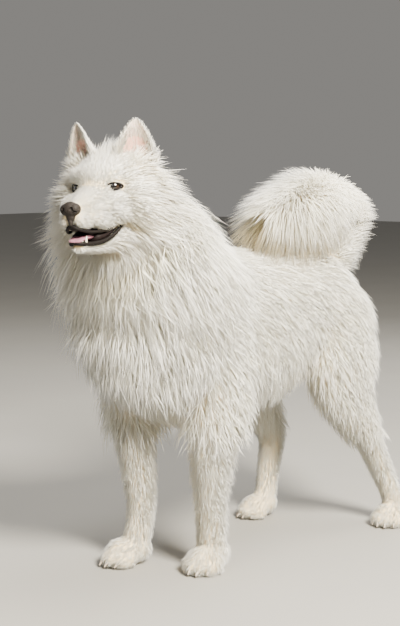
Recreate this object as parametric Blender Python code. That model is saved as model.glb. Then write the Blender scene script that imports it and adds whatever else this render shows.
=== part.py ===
"""Samoyed, a standing life-size model in metres, +Z up, facing -Y with its left side at +X.

The flesh is blended from tubes and balls set on a skeleton of named places, cut into
the parts a person would name, and dressed with flat tapered locks where the coat is long.
"""

import math
import random
from collections import namedtuple

import bmesh
import bpy
import numpy as np
from mathutils import Euler, Matrix, Vector
from mathutils.bvhtree import BVHTree

for stray in list(bpy.data.objects):
    bpy.data.objects.remove(stray)

# Driving sizes
GAP = 0.0003                      # clearance between neighbouring nodes
UNDERCOAT = 0.024                 # depth of the dense coat that the core includes
RUFF_UNDERCOAT = 0.036            # the same round the neck
MODEL_SHIFT = Vector((-0.0019, 0.0297, 0.0))   # puts the middle of the footprint at the origin
CUTTER_REACH = 1.2                # half side of the block that cutters are sliced from
SPECK = 0.00012                   # cuts leave edges shorter than this, which are merged

# Head: its own frame sits midway between the eyes, facing -Y
HEAD_PLACE = Vector((0.015, -0.402, 0.697))
HEAD_TURN = math.radians(12.4)    # towards the left
HEAD_TILT = math.radians(-3.0)    # right side lower
HEAD = Matrix.Translation(HEAD_PLACE) @ Euler((0.0, HEAD_TILT, HEAD_TURN)).to_matrix().to_4x4()
EYE_RADIUS = 0.0115
EYE_PLACE = Vector((0.032, 0.003, 0.0))
NOSE_PLACE = Vector((0.0, -0.086, -0.034))
EAR_HEIGHT = 0.086
EAR_WIDTH = 0.076
EAR_WALL = 0.0045
EYE_AIM = Vector((0.42, -0.90, 0.06))
EYE_OPENING = (0.026, 0.0125)     # width and height between the lids
EYE_SLANT = 0.14                  # rise of the outer corner over the opening's width
LID_RADIUS = 0.0024
LIP_RADIUS = 0.0033
EAR_PLACE = Vector((0.048, 0.044, 0.026))
EAR_TIPS = {1: Vector((0.051, 0.048, 0.108)), -1: Vector((-0.070, 0.046, 0.101))}
# Lips and tongue: points in the head's own frame, mirrored for the other side
UPPER_LIP = ((0.000, -0.088, -0.062), (0.012, -0.084, -0.067), (0.023, -0.062, -0.069),
             (0.033, -0.032, -0.069), (0.041, -0.004, -0.067), (0.045, 0.018, -0.064))
LOWER_LIP = ((0.000, -0.080, -0.084), (0.011, -0.074, -0.0825), (0.019, -0.052, -0.082),
             (0.028, -0.022, -0.079), (0.037, 0.004, -0.073), (0.042, 0.022, -0.067))
TONGUE = (((0.0, -0.006, -0.0740), 0.0200, 0.0035), ((0.0, -0.030, -0.0765), 0.0180, 0.0045),
          ((0.0, -0.058, -0.0795), 0.0140, 0.0045), ((0.0, -0.070, -0.0810), 0.0105, 0.0040))

# Where limbs are parted, as heights over the floor
ELBOW = 0.284
WRIST = 0.072
STIFLE = 0.235
ANKLE = 0.066
PAW_SINK = 0.0015                 # how far the pads press flat

SIDES = {"left": 1, "right": -1}  # which way along X each side lies

# Fineness of each core: grain of the blending, then triangles
HEAD_VOXEL = 0.0035
NOSE_VOXEL = 0.0014
BODY_VOXEL = 0.012
TAIL_VOXEL = 0.010
PAW_VOXEL = 0.0045
HEAD_TRIANGLES = 1000
JAW_TRIANGLES = 130
NOSE_TRIANGLES = 130
BODY_TRIANGLES = 1400
TAIL_TRIANGLES = 240
PAW_TRIANGLES = 170

# Trunk sections: y, height of the middle, half width, half height, all at the skin
TRUNK = (
    (-0.295, 0.445, 0.050, 0.072),
    (-0.250, 0.440, 0.082, 0.112),
    (-0.190, 0.437, 0.100, 0.132),
    (-0.100, 0.430, 0.107, 0.134),
    (0.000, 0.432, 0.105, 0.124),
    (0.100, 0.442, 0.098, 0.110),
    (0.170, 0.450, 0.095, 0.100),
    (0.225, 0.456, 0.092, 0.094),
    (0.262, 0.458, 0.074, 0.076),
)
# Neck sections: place, half width, half depth
NECK = (
    ((0.000, -0.155, 0.470), 0.090, 0.108),
    ((0.001, -0.210, 0.530), 0.088, 0.096),
    ((0.004, -0.268, 0.585), 0.078, 0.080),
    ((0.006, -0.305, 0.635), 0.056, 0.058),
    ((0.012, -0.330, 0.685), 0.030, 0.032),
)
# Leg stations: place, half width, half depth, from the top down, for the left and the right
FORELEGS = {
    "left": (
        ((0.078, -0.165, 0.400), 0.044, 0.064),
        ((0.082, -0.168, 0.320), 0.040, 0.050),
        ((0.080, -0.179, 0.240), 0.033, 0.038),
        ((0.073, -0.174, 0.165), 0.025, 0.028),
        ((0.067, -0.165, 0.105), 0.022, 0.025),
        ((0.062, -0.157, 0.055), 0.023, 0.027),
    ),
    "right": (
        ((-0.076, -0.190, 0.400), 0.044, 0.064),
        ((-0.076, -0.205, 0.320), 0.040, 0.050),
        ((-0.072, -0.213, 0.240), 0.032, 0.037),
        ((-0.070, -0.205, 0.165), 0.025, 0.028),
        ((-0.070, -0.198, 0.105), 0.022, 0.025),
        ((-0.072, -0.204, 0.055), 0.023, 0.027),
    ),
}
HIND_LEGS = {
    "left": (
        ((0.070, 0.230, 0.450), 0.050, 0.096),
        ((0.094, 0.212, 0.360), 0.048, 0.088),
        ((0.110, 0.212, 0.285), 0.036, 0.054),
        ((0.120, 0.252, 0.215), 0.026, 0.033),
        ((0.124, 0.288, 0.165), 0.020, 0.023),
        ((0.134, 0.320, 0.105), 0.018, 0.019),
        ((0.146, 0.342, 0.050), 0.020, 0.021),
    ),
    "right": (
        ((-0.070, 0.222, 0.450), 0.050, 0.096),
        ((-0.090, 0.190, 0.360), 0.048, 0.088),
        ((-0.098, 0.182, 0.285), 0.038, 0.058),
        ((-0.104, 0.228, 0.215), 0.028, 0.036),
        ((-0.103, 0.260, 0.165), 0.024, 0.028),
        ((-0.102, 0.250, 0.105), 0.021, 0.023),
        ((-0.100, 0.238, 0.050), 0.022, 0.024),
    ),
}
# Paws: middle of the foot on the floor, and the way the toes point in degrees from -Y
PAWS = {
    "forepaw_left": ((0.064, -0.169), 8.0),
    "forepaw_right": ((-0.078, -0.226), -16.0),
    "hindpaw_left": ((0.148, 0.330), 8.0),
    "hindpaw_right": ((-0.103, 0.216), -12.0),
}
TOES = ((-1.45, 0.018), (-0.5, 0.030), (0.5, 0.030), (1.45, 0.018))   # place across, reach forward
TOE_SPACING = 0.0165
HIND_PAW_SHARE = 0.94             # size of a hind paw against a forepaw

# Tail: the line of the bone, with the radius of its core
TAIL = (
    ((0.000, 0.250, 0.490), 0.036),
    ((0.000, 0.318, 0.540), 0.036),
    ((0.003, 0.362, 0.582), 0.035),
    ((0.008, 0.374, 0.620), 0.035),
    ((0.014, 0.350, 0.656), 0.036),
    ((0.020, 0.290, 0.663), 0.037),
    ((0.027, 0.210, 0.660), 0.036),
    ((0.034, 0.120, 0.648), 0.029),
    ((0.040, 0.050, 0.636), 0.015),
)

# How the coat lies: place, lie, length and stand (height of the tip over the core, as a
# share of the length). Places off the middle are mirrored to the other side.
COAT = (
    # ruff, from the crown and cheeks back and down
    ((0.000, -0.270, 0.745), (0.0, 0.80, -0.40), 0.080, 0.20),
    ((0.090, -0.330, 0.690), (0.65, 0.25, -0.60), 0.090, 0.62),
    ((0.110, -0.350, 0.620), (0.60, 0.05, -0.80), 0.095, 0.66),
    ((0.070, -0.390, 0.560), (0.30, -0.15, -1.00), 0.120, 0.66),
    ((0.000, -0.400, 0.560), (0.0, -0.30, -1.00), 0.120, 0.48),
    ((0.000, -0.170, 0.660), (0.0, 0.95, -0.55), 0.085, 0.17),
    ((0.100, -0.230, 0.600), (0.25, 0.70, -0.70), 0.115, 0.40),
    ((0.120, -0.300, 0.520), (0.30, 0.30, -0.95), 0.120, 0.46),
    # bib
    ((0.000, -0.360, 0.460), (0.0, -0.10, -1.00), 0.130, 0.50),
    ((0.090, -0.320, 0.430), (0.20, 0.05, -1.00), 0.115, 0.44),
    ((0.000, -0.300, 0.330), (0.0, 0.25, -1.00), 0.090, 0.44),
    # back and flanks
    ((0.000, -0.050, 0.590), (0.0, 1.00, -0.05), 0.110, 0.24),
    ((0.000, 0.120, 0.580), (0.0, 1.00, 0.00), 0.105, 0.24),
    ((0.000, 0.250, 0.565), (0.0, 1.00, -0.30), 0.080, 0.18),
    ((0.120, -0.100, 0.520), (0.10, 0.80, -0.60), 0.115, 0.30),
    ((0.140, -0.100, 0.400), (0.05, 0.50, -0.95), 0.115, 0.32),
    ((0.120, 0.080, 0.500), (0.05, 0.80, -0.60), 0.110, 0.30),
    ((0.120, 0.080, 0.400), (0.05, 0.50, -0.95), 0.110, 0.32),
    ((0.110, 0.200, 0.500), (0.05, 0.60, -0.85), 0.105, 0.30),
    # belly and brisket
    ((0.050, -0.120, 0.300), (0.0, 0.30, -1.00), 0.080, 0.50),
    ((0.050, 0.050, 0.310), (0.0, 0.35, -1.00), 0.085, 0.50),
    ((0.050, 0.150, 0.340), (0.0, 0.40, -1.00), 0.065, 0.45),
    # thighs and breeches
    ((0.130, 0.180, 0.380), (0.05, 0.35, -1.00), 0.090, 0.26),
    ((0.140, 0.220, 0.290), (0.05, 0.45, -1.00), 0.065, 0.22),
    ((0.060, 0.330, 0.450), (0.05, 0.35, -1.00), 0.105, 0.27),
    ((0.100, 0.310, 0.340), (0.0, 0.45, -1.00), 0.100, 0.34),
    ((0.120, 0.310, 0.240), (0.0, 0.45, -1.00), 0.060, 0.36),
    # legs
    ((0.085, -0.130, 0.290), (0.0, 0.50, -1.00), 0.068, 0.32),
    ((0.080, -0.140, 0.200), (0.0, 0.45, -1.00), 0.056, 0.28),
    ((0.080, -0.180, 0.130), (0.0, 0.20, -1.00), 0.040, 0.20),
)
COAT_REACH = 0.070                # how far each line above holds
TAIL_LOCK = 0.092                 # length of the tail's longest locks
TAIL_ROW = 4                      # locks in each row round the tail
TAIL_UPRIGHT = 0.36               # up to here its hair hangs behind the rump
TAIL_STEEPEST = 0.45              # how steeply hair of the curl may rise
TAIL_OVER_BACK = 0.60             # from this share of its length the tail lies over the back

FEATHER_LEVEL = 0.200             # height at which the rear of a foreleg is taken
FEATHER_BEHIND = 0.012            # feathering starts this far behind the leg's middle
FEATHER_LOWEST = 0.120

# Locks: distance between roots, width, thickness and a factor on the guides' length
Locks = namedtuple("Locks", "spacing width thick longer")
RUFF = Locks(0.056, 0.066, 0.016, 1.10)
BODY_COAT = Locks(0.074, 0.080, 0.015, 1.20)
BREECHES = Locks(0.062, 0.062, 0.013, 1.10)
FEATHER = Locks(0.052, 0.048, 0.010, 1.20)
FEATHER_SEEDS = {"left": 41, "right": 43}
CHEEK = Locks(0.026, 0.046, 0.010, 0.66)
TAIL_COAT = Locks(0.046, 0.060, 0.014, 1.00)


# Shapes

def add_object(name, mesh, material=None):
    """Link a mesh to the scene as a named object."""
    made = bpy.data.objects.new(name, mesh)
    bpy.context.scene.collection.objects.link(made)
    if material:
        mesh.materials.clear()
        mesh.materials.append(material)
    return made


def mesh_of(name, points, faces):
    """A mesh with its faces turned outwards."""
    mesh = bpy.data.meshes.new(name)
    mesh.from_pydata([tuple(p) for p in points], [], faces)
    work = bmesh.new()
    work.from_mesh(mesh)
    bmesh.ops.recalc_face_normals(work, faces=work.faces)
    work.to_mesh(mesh)
    work.free()
    return mesh


def smooth_line(points, steps):
    """Points on a Catmull-Rom curve through rows of numbers, steps to each span."""
    rows = np.array(points, float)
    rows = np.vstack([2 * rows[0] - rows[1], rows, 2 * rows[-1] - rows[-2]])
    made = []
    for i in range(1, len(rows) - 2):
        a, b, c, d = rows[i - 1:i + 3]
        for k in range(steps):
            t = k / steps
            made.append(0.5 * (2 * b + (c - a) * t + (2 * a - 5 * b + 4 * c - d) * t ** 2
                               + (3 * b - a - 3 * c + d) * t ** 3))
    made.append(rows[-2])
    return np.array(made)


def skinned(rings):
    """Faces that join equal rings of points and close both ends on a middle point."""
    count = len(rings[0])
    points = [p for ring in rings for p in ring]
    faces = []
    for i in range(len(rings) - 1):
        for j in range(count):
            k = (j + 1) % count
            faces.append((i * count + j, i * count + k, (i + 1) * count + k, (i + 1) * count + j))
    for ring, first in ((rings[0], 0), (rings[-1], (len(rings) - 1) * count)):
        points.append(sum((Vector(p) for p in ring), Vector()) / count)
        faces += [(first + j, first + (j + 1) % count, len(points) - 1) for j in range(count)]
    return points, faces


def tube(stations, grow=0.0, sides=20, steps=5):
    """A tube with elliptical sections and rounded ends through (place, half width, half depth)."""
    rows = [(*place, wide + grow, deep + grow) for place, wide, deep in stations]
    line = smooth_line(rows, steps)
    rings = []
    for i, row in enumerate(line):
        along = Vector(line[min(i + 1, len(line) - 1)][:3] - line[max(i - 1, 0)][:3]).normalized()
        across = (Vector((1, 0, 0)) - along * along.x).normalized()
        up = along.cross(across)
        turns = [2 * math.pi * j / sides for j in range(sides)]
        rings.append([Vector(row[:3]) + across * row[3] * math.cos(a) + up * row[4] * math.sin(a)
                      for a in turns])
        if i in (0, len(line) - 1):
            away = along if i else -along
            bulge = min(row[3], row[4])
            domes = [[p.lerp(Vector(row[:3]), 1 - math.cos(t)) + away * bulge * math.sin(t)
                      for p in rings[-1]] for t in (math.radians(35), math.radians(65))]
            rings = domes[::-1] + rings if i == 0 else rings + domes
    return mesh_of("tube", *skinned(rings))


def ball(place, radii, tilt=(0.0, 0.0, 0.0), divisions=3):
    """An ellipsoid; tilt is in degrees."""
    work = bmesh.new()
    bmesh.ops.create_icosphere(work, subdivisions=divisions, radius=1.0)
    turned = Euler([math.radians(a) for a in tilt]).to_matrix().to_4x4()
    bmesh.ops.transform(work, matrix=Matrix.Translation(place) @ turned @ Matrix.Diagonal((*radii, 1.0)),
                        verts=work.verts)
    mesh = bpy.data.meshes.new("ball")
    work.to_mesh(mesh)
    work.free()
    return mesh


def baked(made, name, material=None):
    """The object with its modifiers applied, replacing it."""
    graph = bpy.context.evaluated_depsgraph_get()
    mesh = bpy.data.meshes.new_from_object(made.evaluated_get(graph))
    bpy.data.objects.remove(made)
    return add_object(name, mesh, material)


def joined(meshes):
    """One mesh that holds all of the given ones, not yet fused."""
    work = bmesh.new()
    for mesh in meshes:
        work.from_mesh(mesh)
    made = bpy.data.meshes.new("joined")
    work.to_mesh(made)
    work.free()
    return made


def flesh(meshes, voxel, rounding, triangles):
    """Tubes and balls fused into one smooth skin of about the given number of triangles."""
    made = add_object("flesh", joined(meshes))
    remesh = made.modifiers.new("Fuse", "REMESH")
    remesh.mode = "VOXEL"
    remesh.voxel_size = voxel
    smooth = made.modifiers.new("Round", "SMOOTH")
    smooth.iterations = rounding
    smooth.factor = 0.5
    made = baked(made, "flesh")
    made.data.calc_loop_triangles()
    decimate = made.modifiers.new("Simplify", "DECIMATE")
    decimate.ratio = triangles / len(made.data.loop_triangles)
    return baked(made, "flesh")


def boolean(made, others, operation):
    """Join to, cut from or keep within others, with its largest closed surface kept."""
    helpers = bpy.data.collections.new("helpers")
    for other in others:
        helpers.objects.link(other)
    modifier = made.modifiers.new("Shape", "BOOLEAN")
    modifier.operation = operation
    modifier.solver = "MANIFOLD"
    modifier.operand_type = "COLLECTION"
    modifier.collection = helpers
    name = made.name
    made = baked(made, name)
    bpy.data.collections.remove(helpers)
    for other in others:
        bpy.data.objects.remove(other)
    keep_largest(made)
    return made


def volume_of(faces):
    """Signed volume inside a set of triangulated faces."""
    return sum(f.verts[0].co.dot(f.verts[1].co.cross(f.verts[2].co)) for f in faces) / 6


def keep_largest(made):
    """Drop every closed surface but the largest."""
    work = bmesh.new()
    work.from_mesh(made.data)
    bmesh.ops.triangulate(work, faces=work.faces)
    work.faces.ensure_lookup_table()
    todo = set(work.faces)
    islands = []
    while todo:
        front = [todo.pop()]
        island = set(front)
        while front:
            for edge in front.pop().edges:
                for other in edge.link_faces:
                    if other in todo:
                        todo.discard(other)
                        island.add(other)
                        front.append(other)
        islands.append(island)
    islands.sort(key=volume_of)
    stray = {v for island in islands[:-1] for f in island for v in f.verts}
    bmesh.ops.delete(work, geom=list(stray), context="VERTS")
    work.to_mesh(made.data)
    work.free()


def without_slivers(made):
    """Collapse the specks that cuts leave, and part corners that only just touch."""
    work = bmesh.new()
    work.from_mesh(made.data)
    bmesh.ops.dissolve_degenerate(work, edges=work.edges, dist=SPECK)
    bmesh.ops.triangulate(work, faces=work.faces)
    corners = {}
    for vertex in work.verts:
        corners.setdefault(tuple(round(x / SPECK) for x in vertex.co), []).append(vertex)
    moves = [(v, v.normal * -SPECK / 4) for group in corners.values() if len(group) > 1 for v in group]
    for vertex, move in moves:
        vertex.co += move
    if all(edge.is_manifold for edge in work.edges):
        work.to_mesh(made.data)
    work.free()
    return made


def copy_of(made, name="copy"):
    """A separate object with a copy of the mesh."""
    return add_object(name, made.data.copy())


def grown(made, by):
    """A copy of an object with its surface moved outwards."""
    swollen = copy_of(made, "grown")
    normals = [v.normal.copy() for v in made.data.vertices]
    for vertex, normal in zip(swollen.data.vertices, normals):
        vertex.co += normal * by
    return swollen


def wedge(planes, shift=0.0):
    """A convex solid behind planes given as (point, outward normal), each moved out by shift."""
    work = bmesh.new()
    bmesh.ops.create_cube(work, size=2 * CUTTER_REACH)
    for point, normal in planes:
        normal = Vector(normal).normalized()
        geometry = work.verts[:] + work.edges[:] + work.faces[:]
        cut = bmesh.ops.bisect_plane(work, geom=geometry, plane_co=Vector(point) + normal * shift,
                                     plane_no=normal, clear_outer=True)
        edges = [g for g in cut["geom_cut"] if isinstance(g, bmesh.types.BMEdge)]
        bmesh.ops.contextual_create(work, geom=edges)
    bmesh.ops.recalc_face_normals(work, faces=work.faces)
    mesh = bpy.data.meshes.new("wedge")
    work.to_mesh(mesh)
    work.free()
    return add_object("wedge", mesh)


def funnel(base, axis, profile, shift=0.0, sides=32):
    """A solid beyond a funnel round an axis; profile rows are (distance along the axis, radius)."""
    axis = Vector(axis).normalized()
    across = axis.orthogonal().normalized()
    other = axis.cross(across)
    rings = []
    for along, radius in profile:
        middle = Vector(base) + axis * (along - shift)
        rings.append([middle + (across * math.cos(a) + other * math.sin(a)) * radius
                      for a in (2 * math.pi * j / sides for j in range(sides))])
    return add_object("funnel", mesh_of("funnel", *skinned(rings)))


# Coat

def combed(place, guides, reach=COAT_REACH):
    """The lie, length and stand of the coat at a place, blended from the guides."""
    weights = np.exp(-((guides[:, :3] - np.array(place)) ** 2).sum(1) / (2 * reach ** 2)) + 1e-9
    row = (guides[:, 3:] * weights[:, None]).sum(0) / weights.sum()
    return Vector(row[:3]).normalized(), row[3], row[4]


def guide_rows():
    """The coat guides of both sides as one table."""
    rows = []
    for place, lie, length, stand in COAT:
        lie = np.array(lie) / np.linalg.norm(lie)
        rows.append((*place, *lie, length, stand))
        if place[0]:
            rows.append((-place[0], place[1], place[2], -lie[0], lie[1], lie[2], length, stand))
    return np.array(rows)


def lock(tree, root, normal, lie, length, stand, width, thick, sink=0.010):
    """A flat tapered lock that follows the surface and lifts towards its tip."""
    shares = (0.0, 0.32, 0.68, 1.0)
    heights = (-sink / length, stand * 0.32, stand * 0.72, stand)
    widths = (0.85, 1.00, 0.62)
    thicks = (0.70, 1.00, 0.70)
    spine = []
    for share, height in zip(shares, heights):
        ahead = Vector(root) + lie * length * share * math.cos(stand)
        near, surface, _, _ = tree.find_nearest(ahead)
        out = (surface * 0.6 + normal * 0.4).normalized()
        spine.append((ahead.lerp(near, 0.75 if share < 1 else 0.55) + out * length * height, out))
    rings = []
    for i, (wide, deep) in enumerate(zip(widths, thicks)):
        along = (spine[i + 1][0] - spine[max(i - 1, 0)][0]).normalized()
        across = along.cross(spine[i][1]).normalized()
        out = across.cross(along)
        middle = spine[i][0]
        rings.append([middle + across * width / 2 * wide, middle + out * thick * deep,
                      middle - across * width / 2 * wide])
    return pointed(rings, spine[-1][0])


def pointed(rings, tip):
    """A closed mesh over equal rings of points that runs out to a tip."""
    count = len(rings[0])
    points = [p for ring in rings for p in ring] + [tip]
    faces = [tuple(range(count))[::-1]]
    for i in range(len(rings) - 1):
        for j in range(count):
            k = (j + 1) % count
            faces.append((count * i + j, count * i + k, count * (i + 1) + k, count * (i + 1) + j))
    last = count * (len(rings) - 1)
    faces += [(last + j, last + (j + 1) % count, len(points) - 1) for j in range(count)]
    return mesh_of("lock", points, faces)


def roots_on(made, spacing, allowed, seed):
    """Evenly scattered places on an object's faces, with their normals."""
    chance = random.Random(seed)
    mesh = made.data
    mesh.calc_loop_triangles()
    triangles = list(mesh.loop_triangles)
    corners = [[mesh.vertices[v].co for v in t.vertices] for t in triangles]
    areas = [t.area for t in triangles]
    tries = int(12 * sum(areas) / spacing ** 2)
    kept = []
    for index in chance.choices(range(len(triangles)), weights=areas, k=tries):
        a, b, c = corners[index]
        s, t = sorted((chance.random(), chance.random()))
        place = a * s + b * (t - s) + c * (1 - t)
        if allowed(place) and all((place - other).length > spacing for other, _ in kept):
            kept.append((place, triangles[index].normal.copy()))
    return kept


# Colours

def paint(name, colour, roughness=0.9):
    """A plain material."""
    made = bpy.data.materials.new(name)
    made.use_nodes = True
    shader = made.node_tree.nodes["Principled BSDF"]
    shader.inputs["Base Color"].default_value = (*colour, 1.0)
    shader.inputs["Roughness"].default_value = roughness
    shader.inputs["Metallic"].default_value = 0.0
    return made


# Regions that part the body into its nodes, each a solid made a little larger by shift

def region_head(shift=0.0):
    """All before the nape, with cheek fur free to lie back over the ruff."""
    base = HEAD @ Vector((0.0, 0.072, -0.018))
    axis = HEAD.to_3x3() @ Vector((0.0, -0.88, 0.47))
    profile = ((0.0, 0.088), (-0.022, 0.125), (-0.030, 0.30), (0.45, 0.30))
    return funnel(base, axis, profile, shift)


def region_neck(shift=0.0):
    """All before the shoulders, with the ruff free to lie back over them."""
    profile = ((0.0, 0.130), (-0.045, 0.170), (-0.075, 0.30), (0.60, 0.30))
    return funnel((0.0, -0.215, 0.525), (0.0, -0.66, 0.75), profile, shift)


def region_foreleg(side):
    """A foreleg below the elbow, inside the fringe that hangs round it."""
    middle = leg_point(FORELEGS[side], ELBOW)

    def region(shift=0.0):
        profile = ((0.0, 0.060), (0.045, 0.064), (0.075, 0.115), (0.36, 0.115))
        return funnel(middle, (0.0, 0.0, -1.0), profile, shift)
    return region


def region_thigh(side):
    """A hind leg from the hip down, with the flank's coat free to lie over it."""
    out = 1.0 if side == "left" else -1.0

    def region(shift=0.0):
        planes = (((0.0, 0.12, 0.335), (0.0, -0.50, 0.86)),
                  ((0.150 * out, 0.24, 0.405), (0.60 * out, -0.40, 0.69)),
                  ((0.0, 0.135, 0.34), (0.0, -0.94, -0.35)),
                  ((GAP * out, 0.0, 0.0), (-out, 0.0, 0.0)))
        return wedge(planes, shift)
    return region


def region_hock(side):
    """A hind leg from above the hock down."""
    middle = leg_point(HIND_LEGS[side], STIFLE)

    def region(shift=0.0):
        profile = ((0.0, 0.064), (0.035, 0.070), (0.060, 0.15), (0.32, 0.15))
        return funnel(middle, (0.0, 0.35, -1.0), profile, shift)
    return region


def region_paw(height):
    """Everything under a level."""
    def region(shift=0.0):
        return wedge((((0.0, 0.0, height), (0.0, 0.0, 1.0)),), shift)
    return region


def region_tail(shift=0.0):
    """All behind and above the root of the tail."""
    planes = (((0.0, 0.300, 0.530), (0.0, -0.72, -0.69)),
              ((0.0, 0.400, 0.512), (0.0, 0.15, -1.0)))
    return wedge(planes, shift)


def region_plume(shift=0.0):
    """All above the back, which the curled tail lies over."""
    planes = (((0.0, 0.0, 0.606), (0.0, 0.0, -1.0)),
              ((0.0, -0.045, 0.606), (0.0, -1.0, 0.35)))
    return wedge(planes, shift)


def leg_point(stations, height):
    """Where the middle of a leg passes a height."""
    for (high, *_), (low, *_) in zip(stations, stations[1:]):
        if high[2] >= height >= low[2]:
            return Vector(high).lerp(Vector(low), (high[2] - height) / (high[2] - low[2]))
    return Vector(stations[0][0])


def cut_out(made, own, taken):
    """Keep what lies inside a node's own region and clear of the regions taken from it."""
    if own:
        made = boolean(made, [own()], "INTERSECT")
    if taken:
        made = boolean(made, [region(GAP * 1.5) for region in taken], "DIFFERENCE")
    return made


# Flesh

def body_forms():
    """Trunk, neck, tail base and limbs as plain forms at the depth of the dense coat."""
    forms = [tube([((0.0, y, z), wide, high) for y, z, wide, high in TRUNK], UNDERCOAT),
             tube(NECK, RUFF_UNDERCOAT),
             tube([(place, radius, radius) for place, radius in TAIL[:4]])]
    forms += [tube(stations, 0.010) for stations in FORELEGS.values()]
    forms += [tube(stations, 0.006) for stations in HIND_LEGS.values()]
    for out in (1, -1):
        forms.append(ball((0.056 * out, -0.215, 0.440), (0.060, 0.085, 0.120), (20, 0, 0)))
        forms.append(ball((0.070 * out, 0.222, 0.420), (0.060, 0.100, 0.095), (-15, 0, 0)))
    return forms


def tail_forms():
    """The curl of the tail."""
    return [tube([(place, radius, radius) for place, radius in TAIL])]


def skull_forms():
    """Cranium, brows, muzzle, cheeks and throat, in the head's own frame."""
    forms = [ball((0.0, 0.055, 0.008), (0.064, 0.075, 0.049)),
             ball((0.0, 0.075, -0.050), (0.056, 0.050, 0.048)),
             tube((((0.0, -0.070, -0.041), 0.0200, 0.0190), ((0.0, -0.055, -0.040), 0.0260, 0.0240),
                   ((0.0, -0.028, -0.034), 0.0350, 0.0310), ((0.0, 0.005, -0.027), 0.0480, 0.0410)))]
    for out in (1, -1):
        forms += [ball((0.022 * out, 0.010, 0.016), (0.027, 0.024, 0.022)),
                  ball((0.046 * out, 0.037, -0.030), (0.034, 0.045, 0.041)),
                  ball((0.0135 * out, -0.070, -0.049), (0.0175, 0.023, 0.0190)),
                  ball((0.046 * out, 0.054, 0.030), (0.027, 0.026, 0.024))]
    return forms


def jaw_forms():
    """The lower jaw, in the head's own frame."""
    return [tube((((0.0, -0.068, -0.090), 0.013, 0.0105), ((0.0, -0.035, -0.092), 0.022, 0.0135),
                  ((0.0, 0.000, -0.088), 0.031, 0.016), ((0.0, 0.035, -0.080), 0.038, 0.022)))]


def eyeball(out, radius):
    """An eyeball or its socket, in the head's own frame."""
    return ball((EYE_PLACE.x * out, EYE_PLACE.y, EYE_PLACE.z), (radius,) * 3, divisions=2)


def lip(points, radius, out):
    """A thin round bead along points; out mirrors it."""
    return tube([((x * out, y, z), radius, radius) for x, y, z in points], sides=5, steps=1)


def lid_ring(out):
    """The rim of the lids round one eye, an almond laid on the eyeball."""
    centre = Vector((EYE_PLACE.x * out, EYE_PLACE.y, EYE_PLACE.z))
    axis = Vector((EYE_AIM.x * out, EYE_AIM.y, EYE_AIM.z)).normalized()
    across = Vector((0, 0, 1)).cross(axis).normalized() * -out
    up = across.cross(axis) * out
    up = up if up.z > 0 else -up
    rings = []
    steps = 16
    path = []
    for k in range(steps):
        turn = 2 * math.pi * k / steps
        wide = EYE_OPENING[0] / 2 * math.cos(turn)
        high = EYE_OPENING[1] / 2 * math.sin(turn) * (1.15 if math.sin(turn) > 0 else 0.85)
        slant = wide * EYE_SLANT
        depth = EYE_RADIUS * (1 - 0.5 * (wide ** 2 + high ** 2) / EYE_RADIUS ** 2)
        path.append(centre + across * wide + up * (high + slant) + axis * (depth + 0.0006))
    for k in range(steps):
        along = (path[(k + 1) % steps] - path[k - 1]).normalized()
        outward = (path[k] - centre).normalized()
        side = along.cross(outward).normalized()
        rings.append([path[k] + (outward * math.cos(a) + side * math.sin(a)) * LID_RADIUS
                      for a in (2 * math.pi * j / 5 for j in range(5))])
    points = [p for ring in rings for p in ring]
    faces = []
    for i in range(steps):
        for j in range(5):
            beside = (j + 1) % 5
            ahead = (i + 1) % steps
            faces.append((5 * i + j, 5 * i + beside, 5 * ahead + beside, 5 * ahead + j))
    return mesh_of("lid", points, faces)


def in_head(meshes):
    """Objects for meshes that were made in the head's own frame."""
    made = []
    for mesh in meshes:
        mesh.transform(HEAD)
        made.append(add_object(mesh.name, mesh))
    return made


# Face details

def ear_cup(out):
    """A rounded triangular ear, hollow in front, in the head's own frame."""
    base = Vector((EAR_PLACE.x * out, EAR_PLACE.y, EAR_PLACE.z))
    up = (EAR_TIPS[out] - base).normalized()
    aim = Vector((0.42 * out, -1.0, 0.0))
    aim = (aim - up * aim.dot(up)).normalized()
    across = up.cross(aim)
    rings = []
    for v in (0.0, 0.20, 0.40, 0.58, 0.75, 0.89, 0.98):
        half = EAR_WIDTH / 2 * (1 - v ** 1.9) ** 0.72
        hollow = 0.020 * (1 - v) ** 0.7
        wall = EAR_WALL * (1.5 - v)
        middle = base + up * EAR_HEIGHT * v - aim * 0.010 * v * v
        front = []
        back = []
        for k in range(7):
            u = -1 + k / 3
            place = middle + across * half * u - aim * hollow * (1 - u * u)
            front.append(place)
            back.append(place - aim * wall * (1.15 - u * u * 0.85))
        rings.append(front + back[::-1])
    return mesh_of("ear", *skinned(rings))


def nose_forms():
    """The nose leather, in the head's own frame."""
    forms = [ball(NOSE_PLACE, (0.0135, 0.0125, 0.0120)),
             ball(NOSE_PLACE + Vector((0.0, -0.002, -0.009)), (0.0065, 0.0085, 0.0100))]
    for out in (1, -1):
        forms.append(ball(NOSE_PLACE + Vector((0.0085 * out, 0.0005, 0.000)), (0.0085, 0.0105, 0.0095)))
    return forms


def nostrils():
    """Cutters for the nostrils, each a round hole that runs out to a slit."""
    made = []
    for out in (1, -1):
        made.append(ball(NOSE_PLACE + Vector((0.0072 * out, -0.0125, 0.0005)), (0.0034, 0.0050, 0.0036),
                         divisions=2))
        made.append(ball(NOSE_PLACE + Vector((0.0120 * out, -0.0095, -0.0030)), (0.0045, 0.0042, 0.0014),
                         (0, 25 * out, 0), divisions=1))
    return made


def canine(out):
    """A lower canine tooth, in the head's own frame."""
    return tube((((0.0125 * out, -0.064, -0.084), 0.0032, 0.0032),
                 ((0.0140 * out, -0.067, -0.078), 0.0026, 0.0026),
                 ((0.0145 * out, -0.066, -0.0725), 0.0008, 0.0008)), sides=5, steps=1)


# Paws

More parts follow.
